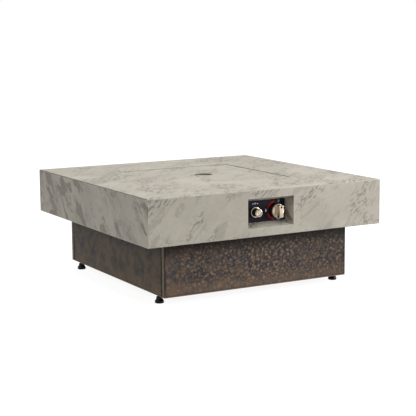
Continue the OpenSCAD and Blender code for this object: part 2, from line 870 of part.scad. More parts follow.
module gas_valve() {
    half = valve_flange_w / 2;
    color(brass) difference() {
        union() {
            rod_y(valve_d, knob_x, plate_back, valve_rear, control_z);
            rod_y(magnet_d, knob_x, valve_rear - eps, valve_rear + magnet_l, control_z);
            translate([knob_x - half, plate_back, control_z - valve_flange_h / 2])
                cube([valve_flange_w, valve_flange_t, valve_flange_h]);
            for (y = [inlet_port_y, outlet_port_y]) translate([knob_x, y, control_z]) rotate([0, 90, 0])
                cylinder(d = port_boss_d, h = valve_d / 2 + port_reach);
        }
        rod_y(stem_d + 2 * thread_gap, knob_x, plate_back - eps, plug_front, control_z);
        rod_y(chamber_d, knob_x, plate_back + bonnet_t, plug_front + eps, control_z);
        translate([knob_x, plug_front, control_z]) rotate([-90, 0, 0])
            cylinder(d1 = plug_d1 + 2 * plug_gap, d2 = plug_d2 + 2 * plug_gap,
                h = plug_rear - plug_front + plug_gap);
        valve_screw_places()
            cylinder(d = valve_screw_d + 2 * thread_gap, h = plate_t + valve_flange_t + eps);
    }
}

module valve_screws() {
    color(steel) valve_screw_places() {
        cylinder(d = valve_screw_d, h = plate_t + valve_flange_t);
        translate([0, 0, -valve_screw_head_t]) cylinder(d = valve_screw_head_d, h = valve_screw_head_t);
    }
}

module valve_plug() {
    slot_l = tang_l + knob_travel + tang_end_gap;
    color(brass) difference() {
        translate([knob_x, plug_front + plug_gap, control_z]) rotate([-90, 0, 0])
            cylinder(d1 = plug_d1, d2 = plug_d2, h = plug_rear - plug_front - plug_gap);
        translate([knob_x, plug_front + slot_l / 2, control_z])
            cube([tang_t + 2 * tang_gap, slot_l + eps, tang_w + 2 * tang_gap], center = true);
    }
}

module valve_stem() {
    color(steel) {
        rod_y(stem_d, knob_x, stem_tip, collar_front, control_z);
        rod_y(collar_d, knob_x, collar_front, collar_front + collar_t, control_z);
        translate([knob_x, (collar_front + collar_t + plug_front + tang_l) / 2, control_z])
            cube([tang_t, plug_front + tang_l - collar_front - collar_t, tang_w], center = true);
    }
}

valve_coil = coil(valve_spring_d - spring_wire,
    collar_front + collar_t + spring_wire / 2 + spring_seat_gap,
    plug_front - spring_wire / 2 - spring_seat_gap, valve_spring_turns, knob_x, control_z);

module valve_spring() {
    color(steel) tube_along(valve_coil, spring_wire, 6, [1, 0, 0]);
}

module knob_bezel() {
    color(black) difference() {
        rod_y(bezel_d, knob_x, plate_front - bezel_t, plate_front, control_z);
        rod_y(stem_hole_d, knob_x, plate_front - bezel_t - eps, plate_front + eps, control_z);
        valve_screw_places() translate([0, 0, -valve_screw_head_t - thread_gap])
            cylinder(d = valve_screw_head_d + 2 * bolt_gap, h = valve_screw_head_t + thread_gap + eps);
    }
}

module knob_skirt() {
    color(black) translate([knob_x, knob_rear, control_z]) rotate([90, 0, 0]) difference() {
        union() {
            cylinder(d = knob_d, h = skirt_l - skirt_bevel);
            translate([0, 0, skirt_l - skirt_bevel])
                cylinder(d1 = knob_d, d2 = knob_d - 2 * skirt_bevel, h = skirt_bevel);
        }
        translate([0, 0, -eps]) cylinder(d = stem_d + 2 * thread_gap, h = skirt_l + 2 * eps);
    }
}

// The grip's outline in plan: a bar with hollow flanks and round ends
module grip_outline() {
    difference() {
        intersection() {
            square([grip_w, grip_l], center = true);
            circle(d = grip_l);
        }
        for (s = [-1, 1]) translate([s * (grip_w / 2 - grip_hollow + grip_flank_d / 2), 0])
            circle(d = grip_flank_d);
    }
}

module knob_cap() {
    color(chrome) translate([knob_x, skirt_front, control_z]) rotate([90, 0, 0]) difference() {
        union() {
            cylinder(d = knob_cap_d, h = cap_disc_t - cap_dome);
            translate([0, 0, cap_disc_t - cap_dome])
                cylinder(d1 = knob_cap_d, d2 = knob_cap_d - 2 * cap_bevel, h = cap_dome);
            linear_extrude(cap_disc_t + grip_h) grip_outline();
        }
        translate([0, grip_l / 2 - pointer_inset, cap_disc_t + grip_h - pointer_depth])
            cylinder(d = pointer_d, h = pointer_depth + eps);
    }
}

// Igniter

module igniter_body() {
    color(black) difference() {
        union() {
            rod_y(barrel_d, igniter_x, barrel_front, plate_back + eps, control_z);
            rod_y(igniter_shoulder_d, igniter_x, plate_back, plate_back + igniter_shoulder_t, control_z);
            rod_y(igniter_case_d, igniter_x, plate_back, igniter_rear, control_z);
            rod_y(terminal_d, igniter_x, igniter_rear - eps, igniter_rear + terminal_l, control_z);
        }
        rod_y(igniter_bore_d, igniter_x, barrel_front - eps, igniter_floor, control_z);
    }
}

module igniter_nut() {
    bevel = igniter_nut_bevel;
    color(chrome) translate([igniter_x, plate_front, control_z]) rotate([90, 0, 0]) difference() {
        union() {
            cylinder(d = igniter_nut_d, h = igniter_nut_t - bevel);
            translate([0, 0, igniter_nut_t - bevel])
                cylinder(d1 = igniter_nut_d, d2 = igniter_nut_d - 2 * bevel, h = bevel);
        }
        translate([0, 0, -eps]) cylinder(d = barrel_d + 2 * thread_gap, h = igniter_nut_t + 2 * eps);
    }
}

module igniter_battery() {
    color(steel) {
        rod_y(battery_d, igniter_x, battery_front + battery_nub_l, battery_rear, control_z);
        rod_y(battery_nub_d, igniter_x, battery_front, battery_front + battery_nub_l + eps, control_z);
    }
}

igniter_coil = coil(button_spring_d - spring_wire,
    button_front + button_cap_t + spring_wire / 2 + spring_seat_gap,
    battery_front - spring_wire / 2 - spring_seat_gap, button_spring_turns, igniter_x, control_z);

module igniter_spring() {
    color(steel) tube_along(igniter_coil, spring_wire, 6, [1, 0, 0]);
}

// The button's wall and face, turned about its axis: a shallow dish inside a raised rim
module igniter_button() {
    r = button_d / 2;
    skirt = barrel_d / 2 + button_gap;
    l = button_rear - button_front;
    dish_r = r - button_rim - button_dish;
    color(chrome) translate([igniter_x, button_rear, control_z]) rotate([90, 0, 0])
        rotate_extrude() polygon([
            [skirt, 0], [r, 0], [r, l - button_dish], [r - button_dish, l], [r - button_rim, l],
            [dish_r, l - button_dish], [0, l - button_dish],
            [0, l - button_cap_t], [skirt, l - button_cap_t],
        ]);
}

// Gas line

module supply_hose() {
    color(black) tube_along(curve(supply_route, 4), hose_d, 10, [0, 0, 1]);
}

module feed_hose() {
    color(steel) tube_along(curve(feed_route, 4), hose_d, 10, [0, 0, 1]);
}

module thermocouple_lead() {
    color(copper) tube_along(curve(thermocouple_route, 5), lead_d, 8, [1, 0, 0]);
}

module ignition_lead() {
    color(black) tube_along(curve(ignition_route, 5), lead_d, 8, [1, 0, 0]);
}

module inlet_fitting() {
    back = base_d / 2;
    color(brass) difference() {
        union() {
            rod_y(inlet_d, inlet_x, back - inlet_inside, back + inlet_hex_t + inlet_l, inlet_z);
            translate([inlet_x, back, inlet_z]) rotate([-90, 0, 0]) hex(inlet_hex_af, inlet_hex_t);
        }
        rod_y(inlet_bore_d, inlet_x, back - inlet_bore_in, back + inlet_hex_t + inlet_l + eps, inlet_z);
    }
}

module inlet_nut() {
    inner_face = base_d / 2 - sheet;
    color(brass) translate([inlet_x, inner_face, inlet_z]) rotate([90, 0, 0]) difference() {
        hex(inlet_hex_af, inlet_hex_t);
        translate([0, 0, -eps]) cylinder(d = inlet_d + 2 * thread_gap, h = inlet_hex_t + 2 * eps);
    }
}

// Base

// A folded tray panel for the front or back, facing -Y
module tray_panel() {
    inside_h = panel_h - 2 * sheet;
    translate([-base_w / 2, -base_d / 2, base_clear]) difference() {
        cube([base_w, panel_return, panel_h]);
        translate([sheet, sheet, sheet]) cube([base_w - 2 * sheet, panel_return - 2 * sheet, inside_h]);
        translate([lip_w, panel_return / 2, sheet]) cube([base_w - 2 * lip_w, panel_return, inside_h]);
        for (s = [0, 1], z = panel_screw_z)
            translate([base_w / 2 + (2 * s - 1) * panel_screw_x, panel_return - sheet - eps, z])
                rotate([-90, 0, 0]) cylinder(d = panel_screw_d + 2 * thread_gap, h = sheet + 2 * eps);
    }
}

module front_panel() {
    color(patina) tray_panel();
}

module back_panel() {
    color(patina) difference() {
        rotate(180) tray_panel();
        rod_y(inlet_d + 2 * bolt_gap, inlet_x, base_d / 2 - 2 * sheet, base_d / 2 + eps, inlet_z);
    }
}

// A side panel on +X, with its bottom flange for the feet and a short flange at the top
module side_panel() {
    flange_run = 2 * (tray_inner_y - post_leg - post_clear);
    difference() {
        union() {
            translate([side_inner_x, -side_run / 2, base_clear]) cube([sheet, side_run, panel_h]);
            translate([base_w / 2 - flange_w, -side_run / 2, base_clear]) cube([flange_w, side_run, sheet]);
            translate([base_w / 2 - top_flange_w, -flange_run / 2, panel_top - sheet])
                cube([top_flange_w, flange_run, sheet]);
        }
        for (s = [-1, 1]) translate([foot_x, s * foot_y, base_clear - eps])
            cylinder(d = stud_d + 4 * bolt_gap, h = sheet + 2 * eps);
    }
}

module right_panel() {
    color(patina) side_panel();
}

module left_panel() {
    color(patina) mirror([1, 0, 0]) side_panel();
}

module panel_screw_rods(d, from, to) {
    for (sx = [-1, 1], sy = [-1, 1], z = panel_screw_z)
        translate([sx * panel_screw_x, sy * tray_inner_y, base_clear + z])
            rotate([-90 * sy, 0, 0]) translate([0, 0, from]) cylinder(d = d, h = to - from);
}

module panel_screws() {
    inner = -post_t - panel_screw_head_t;
    color(steel) {
        panel_screw_rods(panel_screw_d, inner, sheet + panel_screw_end);
        panel_screw_rods(panel_screw_head_d, inner, -post_t);
    }
}

module corner_posts() {
    h = rail_z - post_bottom;
    inside = post_leg - post_t;
    color(steel) difference() {
        for (sx = [0, 1], sy = [0, 1]) mirror([sx, 0, 0]) mirror([0, sy, 0])
            translate([side_inner_x - post_leg, tray_inner_y - post_leg, post_bottom]) difference() {
                cube([post_leg, post_leg, h]);
                translate([-eps, -eps, -eps]) cube([inside + eps, inside + eps, h + 2 * eps]);
            }
        panel_screw_rods(panel_screw_d + 2 * thread_gap, -2 * post_t, eps);
    }
}

// A square tube with welded end plates, along +X
module square_tube(l) {
    inside = rail_side - 2 * rail_wall;
    difference() {
        cube([l, rail_side, rail_side]);
        translate([rail_wall, rail_wall, rail_wall]) cube([l - 2 * rail_wall, inside, inside]);
    }
}

module top_rails() {
    cross_l = 2 * (side_inner_x - rail_side);
    color(steel) difference() {
        union() {
            for (sy = [0, 1]) mirror([0, sy, 0])
                translate([-cross_l / 2, tray_inner_y - rail_side, rail_z]) square_tube(cross_l);
            for (sx = [0, 1]) mirror([sx, 0, 0])
                translate([side_inner_x, -tray_inner_y, rail_z]) rotate(90) square_tube(2 * tray_inner_y);
        }
        translate([0, 0, rail_z - eps]) deck_bolt_places()
            cylinder(d = deck_bolt_d + 2 * bolt_gap, h = rail_side + 2 * eps);
    }
}

module deck_bolts() {
    color(steel) translate([0, 0, rail_z]) deck_bolt_places() {
        cylinder(d = deck_bolt_d, h = rail_side + deck_bolt_l - deck_bolt_end_gap);
        translate([0, 0, -deck_bolt_head_t]) hex(deck_bolt_af, deck_bolt_head_t);
    }
}

// Feet

module foot_nut(h) {
    difference() {
        hex(foot_nut_af, h);
        translate([0, 0, -eps]) cylinder(d = stud_d + 2 * thread_gap, h = h + 2 * eps);
    }
}

module foot_lock_nuts() {
    color(black) translate([0, 0, base_clear - lock_nut_t])
        four_corners(foot_x, foot_y) foot_nut(lock_nut_t);
}

module foot_weld_nuts() {
    color(steel) translate([0, 0, base_clear + sheet]) four_corners(foot_x, foot_y) foot_nut(weld_nut_t);
}

// A bell-shaped pad: a bevelled hem, a flank that sweeps in and a straight neck round the stud's socket
module foot_pad(sx, sy) {
    r = foot_d / 2;
    neck = foot_neck_d / 2;
    socket = stud_d / 2 + thread_gap;
    rise = foot_top - foot_neck_l - foot_hem;
    flank = [for (i = [1 : foot_flank_steps]) let (share = i / foot_flank_steps)
        [neck + (r - neck) * (1 + cos(180 * share)) / 2, foot_hem + rise * share]];
    color(black) translate([sx * foot_x, sy * foot_y, 0]) rotate_extrude() polygon(concat(
        [[0, 0], [r - foot_hem_bevel, 0], [r, foot_hem_bevel], [r, foot_hem]],
        flank,
        [[neck, foot_top], [socket, foot_top], [socket, stud_socket], [0, stud_socket]]
    ));
}

module foot_stud(sx, sy) {
    color(steel) translate([sx * foot_x, sy * foot_y, stud_socket])
        cylinder(d = stud_d, h = stud_top - stud_socket);
}

echo(least_gap_in_the_valve_spring = least_gap(valve_coil, spring_wire));
echo(least_gap_in_the_igniter_spring = least_gap(igniter_coil, spring_wire));

table_top();
burner_lid();
lid_pads();
fire_pan();
burner_ring();
burner_nut();
burner_injector();
lava_rocks();
pilot_bracket();
spark_electrode();
thermocouple();
heat_shield();
shield_spacers();
control_plate();
plate_screws();
gas_valve();
valve_screws();
valve_plug();
valve_stem();
valve_spring();
knob_bezel();
knob_skirt();
knob_cap();
igniter_body();
igniter_nut();
igniter_battery();
igniter_spring();
igniter_button();
supply_hose();
feed_hose();
thermocouple_lead();
ignition_lead();
inlet_fitting();
inlet_nut();
front_panel();
back_panel();
left_panel();
right_panel();
panel_screws();
corner_posts();
top_rails();
deck_bolts();
foot_lock_nuts();
foot_weld_nuts();
foot_pad(-1, -1);  // foot_pad_front_left
foot_pad(1, -1);  // foot_pad_front_right
foot_pad(-1, 1);  // foot_pad_back_left
foot_pad(1, 1);  // foot_pad_back_right
foot_stud(-1, -1);  // foot_stud_front_left
foot_stud(1, -1);  // foot_stud_front_right
foot_stud(-1, 1);  // foot_stud_back_left
foot_stud(1, 1);  // foot_stud_back_right
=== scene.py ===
# %% [markdown]
# # A gas fire pit table, dressed in Blender
#
# The CAD model gives every solid its true size and place, and this lesson gives those solids their
# looks. The table has a cast concrete top with a lift-off lid, a control pocket in its front edge, and
# a base of folded steel with a mottled patina. Nothing here moves a CAD solid: a finish is laid on it,
# a small detail is added beside it, or a finer piece stands for it.

import json
import math
import random

import bmesh
import bpy
from mathutils import Matrix, Vector, noise


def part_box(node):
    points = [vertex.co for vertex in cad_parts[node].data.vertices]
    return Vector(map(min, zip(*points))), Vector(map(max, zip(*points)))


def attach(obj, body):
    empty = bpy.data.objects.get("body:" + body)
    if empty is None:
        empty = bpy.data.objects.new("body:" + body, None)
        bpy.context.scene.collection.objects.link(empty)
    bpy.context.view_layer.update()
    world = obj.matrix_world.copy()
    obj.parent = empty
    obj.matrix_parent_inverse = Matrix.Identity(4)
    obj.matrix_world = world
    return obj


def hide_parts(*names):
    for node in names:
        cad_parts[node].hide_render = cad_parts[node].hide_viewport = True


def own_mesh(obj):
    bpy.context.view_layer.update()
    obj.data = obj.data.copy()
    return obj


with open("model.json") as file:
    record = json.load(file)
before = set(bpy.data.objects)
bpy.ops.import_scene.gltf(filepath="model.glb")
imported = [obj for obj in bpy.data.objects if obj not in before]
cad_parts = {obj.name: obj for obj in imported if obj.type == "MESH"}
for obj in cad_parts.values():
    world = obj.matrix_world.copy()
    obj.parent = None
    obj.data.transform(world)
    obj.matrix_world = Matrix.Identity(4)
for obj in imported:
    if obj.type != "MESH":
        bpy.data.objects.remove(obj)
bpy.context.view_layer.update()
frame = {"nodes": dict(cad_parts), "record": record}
nodes = frame["nodes"]

# %% [markdown]
# ## Camera
#
# The photograph looks down a little on the near left corner. Its vanishing lines were fitted to a
# square top, which gives the camera's place, its long lens and a very slight tilt to one side. A
# camera's own axes are its right, its up and its backward direction, so the three are written straight
# into its matrix. That is safer than three Euler angles, which can be applied in the wrong order.

# %% Place the camera
VIEW_YAW, VIEW_PITCH, VIEW_ROLL = (math.radians(a) for a in (29.403, 8.897, -0.434))
FOCAL_PIXELS, IMAGE_PIXELS, SENSOR_MM = 1193.5, 416, 36
forward = Vector((
    math.sin(VIEW_YAW) * math.cos(VIEW_PITCH),
    math.cos(VIEW_YAW) * math.cos(VIEW_PITCH),
    -math.sin(VIEW_PITCH),
))
level = Vector((math.cos(VIEW_YAW), -math.sin(VIEW_YAW), 0))
upright = level.cross(forward)
right = math.cos(VIEW_ROLL) * level + math.sin(VIEW_ROLL) * upright
upward = math.cos(VIEW_ROLL) * upright - math.sin(VIEW_ROLL) * level
camera = bpy.data.objects.new("photo_camera", bpy.data.cameras.new("photo_camera"))
camera.data.lens = SENSOR_MM * FOCAL_PIXELS / IMAGE_PIXELS
camera.data.sensor_width = SENSOR_MM
camera.matrix_world = Matrix.Translation((-2.10756, -3.77443, 0.92312)) @ Matrix(
    (right, upward, -forward)).transposed().to_4x4()
bpy.context.scene.collection.objects.link(camera)
bpy.context.scene.camera = camera
print("lens", round(camera.data.lens, 1), "mm")

# %% [markdown]
# ## Studio
#
# The table stands in a white studio: a pale floor, an even white surround and two large soft boxes. One
# hangs overhead, so the top face is the brightest and the base lies in the top's shade. The other
# stands at the front right, so the front comes next and the left side is the darkest, as in the
# photograph. The floor gives off a little light of its own, so that only a faint shadow lies under the
# table.

# %% White surround and floor
world = bpy.data.worlds.new("white_studio")
world.use_nodes = True
world.node_tree.nodes["Background"].inputs["Color"].default_value = (1, 1, 1, 1)
world.node_tree.nodes["Background"].inputs["Strength"].default_value = 1.0
bpy.context.scene.world = world
bpy.context.scene.view_settings.view_transform = "Standard"

FLOOR_HALF = 30.0
SQUARE = (-1, -1), (1, -1), (1, 1), (-1, 1)
floor_mesh = bpy.data.meshes.new("studio_floor")
floor_mesh.from_pydata([(x * FLOOR_HALF, y * FLOOR_HALF, 0) for x, y in SQUARE], [], [(0, 1, 2, 3)])
studio_floor = bpy.data.objects.new("studio_floor", floor_mesh)
bpy.context.scene.collection.objects.link(studio_floor)
floor_paper = bpy.data.materials.new("floor_paper")
floor_paper.use_nodes = True
paper = floor_paper.node_tree.nodes["Principled BSDF"].inputs
paper["Base Color"].default_value = (0.15, 0.15, 0.15, 1)
paper["Roughness"].default_value = 0.9
paper["Emission Color"].default_value = (1, 1, 1, 1)
paper["Emission Strength"].default_value = 0.90
floor_mesh.materials.append(floor_paper)
print("floor", 2 * FLOOR_HALF, "m square")

# %% [markdown]
# A soft box is a square area light. It shines along its own -Z axis, which is turned to its aim.


# %% Soft boxes
def soft_light(name, place, aim, size, power):
    lamp = bpy.data.lights.new(name, "AREA")
    lamp.shape = "SQUARE"
    lamp.size = size
    lamp.energy = power
    light = bpy.data.objects.new(name, lamp)
    light.location = place
    light.rotation_euler = (Vector(aim) - Vector(place)).to_track_quat("-Z", "Y").to_euler()
    bpy.context.scene.collection.objects.link(light)


soft_light("overhead_box", (0.0, -0.2, 4.0), (0, 0, 0.3), 3.0, 178)
soft_light("front_box", (2.2, -1.8, 0.72), (0.2, -0.2, 0.3), 1.2, 84)
print("lit by two soft boxes and the white surround")

# %% [markdown]
# ## How a finish is built
#
# Each finish is a node material. Building nodes one by one is wordy, so a small class keeps the
# material, its shader and the usual textures together: soft noise, cells, a threshold, a colour mix, a
# bump and a mask for edges. But for one woven hose, they all use object coordinates, which are the
# CAD's own metres here, so a speckle has a real size and the pattern stays on a piece when the piece
# moves.


# %% The finish builder
def tone(r, g, b):
    """A colour as an eye sees it, from 0 to 255, turned into the linear light that shaders use."""
    shares = (c / 255 for c in (r, g, b))
    return tuple(s / 12.92 if s <= 0.04045 else ((s + 0.055) / 1.055) ** 2.4 for s in shares) + (1.0,)


class Finish:
    """A procedural material, built up one texture at a time."""

    def __init__(self, name, metallic=0.0, roughness=0.5):
        self.material = bpy.data.materials.new(name)
        self.material.use_nodes = True
        self.tree = self.material.node_tree
        self.surface = self.tree.nodes["Principled BSDF"].inputs
        self.surface["Metallic"].default_value = metallic
        self.surface["Roughness"].default_value = roughness
        self.places = self.add("ShaderNodeTexCoord").outputs

    def add(self, kind, **settings):
        made = self.tree.nodes.new(kind)
        for key, value in settings.items():
            setattr(made, key, value)
        return made

    def feed(self, socket, value):
        if isinstance(value, bpy.types.NodeSocket):
            self.tree.links.new(value, socket)
        else:
            socket.default_value = value

    def stretch(self, scale, turn=(0, 0, 0), at=None):
        made = self.add("ShaderNodeMapping")
        self.feed(made.inputs["Vector"], at or self.places["Object"])
        made.inputs["Scale"].default_value = scale
        made.inputs["Rotation"].default_value = turn
        return made.outputs["Vector"]

    def grain(self, scale, detail=2.0, rough=0.5, at=None, warp=0.0):
        made = self.add("ShaderNodeTexNoise")
        self.feed(made.inputs["Vector"], at or self.places["Object"])
        numbers = {"Scale": scale, "Detail": detail, "Roughness": rough, "Distortion": warp}
        for key, number in numbers.items():
            made.inputs[key].default_value = number
        return made.outputs["Fac"]

    def wobble(self, scale, amount, at=None):
        """Coordinates that are pushed about by noise, so that a regular pattern loses its regularity."""
        push = self.add("ShaderNodeTexNoise")
        self.feed(push.inputs["Vector"], at or self.places["Object"])
        push.inputs["Scale"].default_value = scale
        moved = self.add("ShaderNodeVectorMath", operation="MULTIPLY_ADD")
        self.feed(moved.inputs[0], push.outputs["Color"])
        moved.inputs[1].default_value = (amount, amount, amount)
        self.feed(moved.inputs[2], at or self.places["Object"])
        return moved.outputs["Vector"]

    def cells(self, scale, at=None):
        made = self.add("ShaderNodeTexVoronoi")
        self.feed(made.inputs["Vector"], at or self.places["Object"])
        made.inputs["Scale"].default_value = scale
        return made.outputs["Distance"]

    def step(self, value, low, high, to=(0.0, 1.0)):
        made = self.add("ShaderNodeMapRange", interpolation_type="SMOOTHSTEP")
        self.feed(made.inputs["Value"], value)
        numbers = {"From Min": low, "From Max": high, "To Min": to[0], "To Max": to[1]}
        for key, number in numbers.items():
            made.inputs[key].default_value = number
        return made.outputs["Result"]

    def calc(self, operation, first, second):
        made = self.add("ShaderNodeMath", operation=operation)
        self.feed(made.inputs[0], first)
        self.feed(made.inputs[1], second)
        return made.outputs[0]

    def mix(self, share, first, second):
        made = self.add("ShaderNodeMix", data_type="RGBA")
        self.feed(made.inputs[0], share)
        self.feed(made.inputs[6], first)
        self.feed(made.inputs[7], second)
        return made.outputs[2]

    def edges(self, radius):
        """1 on edges that stand out or in, and 0 on open faces."""
        rounded = self.add("ShaderNodeBevel", samples=6)
        rounded.inputs["Radius"].default_value = radius
        across = self.add("ShaderNodeVectorMath", operation="DOT_PRODUCT")
        self.feed(across.inputs[0], rounded.outputs["Normal"])
        self.feed(across.inputs[1], self.add("ShaderNodeNewGeometry").outputs["Normal"])
        return self.step(across.outputs["Value"], 0.98, 0.80)

    def bump(self, height, strength, depth):
        made = self.add("ShaderNodeBump")
        made.inputs["Strength"].default_value = strength
        made.inputs["Distance"].default_value = depth
        self.feed(made.inputs["Height"], height)
        self.feed(self.surface["Normal"], made.outputs["Normal"])

    def colour(self, value):
        self.feed(self.surface["Base Color"], value)

    def rough(self, value):
        self.feed(self.surface["Roughness"], value)


print("finish builder ready")

# %% [markdown]
# ## Cast concrete
#
# The top is cast in fibre concrete and sealed. Its face has soft grey-brown smudges that lie on a
# slant, as if the wet skin had been dragged with a brush. Noise that is stretched along one direction
# gives such smudges, but a stretched 3-D noise looks wrong on at least one face. So the face's own
# normal picks two of the three coordinates first, and the slant is then the same on top, front and
# sides.


# %% Coordinates in the plane of a face
def split(finish, vector):
    made = finish.add("ShaderNodeSeparateXYZ")
    finish.feed(made.inputs[0], vector)
    return made.outputs


def faces_along(finish, axis):
    """1 on faces that look along an axis, either way, and 0 on the others."""
    across = split(finish, finish.places["Normal"])[axis]
    return finish.calc("GREATER_THAN", finish.calc("ABSOLUTE", across, 0.0), 0.7)


def face_plane(finish):
    """The two coordinates that lie in the face, with a different third number for each kind of face."""
    x, y, z = split(finish, finish.places["Object"])
    side, flat = faces_along(finish, 0), faces_along(finish, 2)

    def pick(share, first, second):
        made = finish.add("ShaderNodeMix", data_type="FLOAT")
        finish.feed(made.inputs[0], share)
        finish.feed(made.inputs[2], first)
        finish.feed(made.inputs[3], second)
        return made.outputs[0]

    joined = finish.add("ShaderNodeCombineXYZ")
    finish.feed(joined.inputs[0], pick(side, x, y))
    finish.feed(joined.inputs[1], pick(flat, z, y))
    apart = finish.calc("ADD", finish.calc("MULTIPLY", side, 3.7), finish.calc("MULTIPLY", flat, 8.3))
    finish.feed(joined.inputs[2], apart)
    return joined.outputs[0]


print("faces are told apart by their normals")

# %% [markdown]
# The smudges are of three kinds. Blots are broad and faint. Flecks are short and crisp, and gather in
# clusters. The two sides have larger ovals, combed with fine hairs. Each kind is stretched noise that
# is cut off at a threshold, and where two kinds meet the stronger one wins.

# %% Smudges on the concrete
concrete = Finish("cast_concrete", roughness=0.75)
slant = concrete.stretch((1, 1, 1), turn=(0, 0, math.radians(-45)), at=face_plane(concrete))
blots = concrete.grain(1.0, 5.0, 0.62, at=concrete.stretch((10, 26, 1), at=slant), warp=0.5)
blots = concrete.step(blots, 0.555, 0.595, to=(0.0, 0.34))
gather = concrete.step(concrete.grain(1.0, 2.0, at=concrete.stretch((6, 12, 1), at=slant)), 0.49, 0.61)
flecks = concrete.grain(1.0, 3.0, 0.6, at=concrete.stretch((44, 125, 1), at=slant), warp=0.4)
flecks = concrete.calc("MULTIPLY", gather, concrete.step(flecks, 0.50, 0.57))
ovals = concrete.grain(1.0, 3.0, 0.48, at=concrete.stretch((9, 19, 1), at=slant), warp=0.25)
hairs = concrete.grain(1.0, 3.0, 0.6, at=concrete.stretch((40, 170, 1), at=slant))
hairs = concrete.step(hairs, 0.38, 0.60, to=(0.70, 1.3))
ovals = concrete.calc("MULTIPLY", concrete.step(ovals, 0.56, 0.60), hairs)
smudges = concrete.calc("MAXIMUM", blots, concrete.calc("MULTIPLY", ovals, faces_along(concrete, 0)))
dragged = concrete.calc("MAXIMUM", smudges, concrete.calc("MULTIPLY", flecks, 0.95))
print("smudges:", len(concrete.tree.nodes), "nodes")

# %% [markdown]
# Under the smudges the colour drifts in clouds, with a fine mottle, pin-hole pores and grains of sand.
# The edges are rubbed pale, and the bevel along the top of the two sides is darker.

# %% Concrete finish
clouds = concrete.step(concrete.grain(5.0, 4.0, 0.6), 0.35, 0.68)
cast = concrete.mix(clouds, tone(122, 117, 107), tone(134, 129, 118))
mottle = concrete.step(concrete.grain(75, 4.0, 0.65), 0.36, 0.66, to=(0.0, 0.35))
cast = concrete.mix(mottle, cast, tone(114, 110, 100))
cast = concrete.mix(dragged, cast, tone(80, 74, 65))
pores = concrete.step(concrete.cells(260), 0.16, 0.10)
pores = concrete.calc("MULTIPLY", pores, concrete.step(concrete.grain(40), 0.56, 0.64))
cast = concrete.mix(concrete.calc("MULTIPLY", pores, 0.5), cast, tone(62, 58, 51))
sand = concrete.grain(900, 2.0, 0.7)
cast = concrete.mix(concrete.step(sand, 0.35, 0.75, to=(0.0, 0.22)), cast, tone(152, 148, 138))
cast = concrete.mix(concrete.calc("MULTIPLY", concrete.edges(0.004), 0.40), cast, tone(180, 175, 164))
# The bevel between the top and each side is made darker.
facing = split(concrete, concrete.places["Normal"])
side_arris = concrete.calc("MULTIPLY", concrete.calc("ABSOLUTE", facing[0], 0.0), facing[2])
cast = concrete.mix(concrete.step(side_arris, 0.2, 0.4, to=(0.0, 0.85)), cast, tone(60, 56, 49))
concrete.colour(cast)
concrete.rough(concrete.step(dragged, 0, 1, to=(0.80, 0.62)))
relief = concrete.calc("ADD", concrete.calc("MULTIPLY", sand, 0.25), clouds)
concrete.bump(concrete.calc("SUBTRACT", relief, pores), 0.25, 0.0006)
print("concrete:", len(concrete.tree.nodes), "nodes")

# %% [markdown]
# ## Patina steel
#
# The base panels are folded steel, darkened with acid and sealed with lacquer. On the front the patina
# is mottled like tortoiseshell: tan spots in two sizes, about a centimetre wide, in a net of dark slate
# on a brown ground. The spots thin out towards the bottom and the left. Painted shade darkens the top,
# under the overhang of the table's top, and a little of the right end, which the front box lights more.
# The sides get a calmer, darker copy of the patina, and part of that darkness is painted shade. Cells
# make the spots, because each cell can be palest in its middle and darkest where it meets its
# neighbours. The folded returns at the corners are streaked a paler tan, the bends are dark, and the
# lowest edge shows a thin tan line.


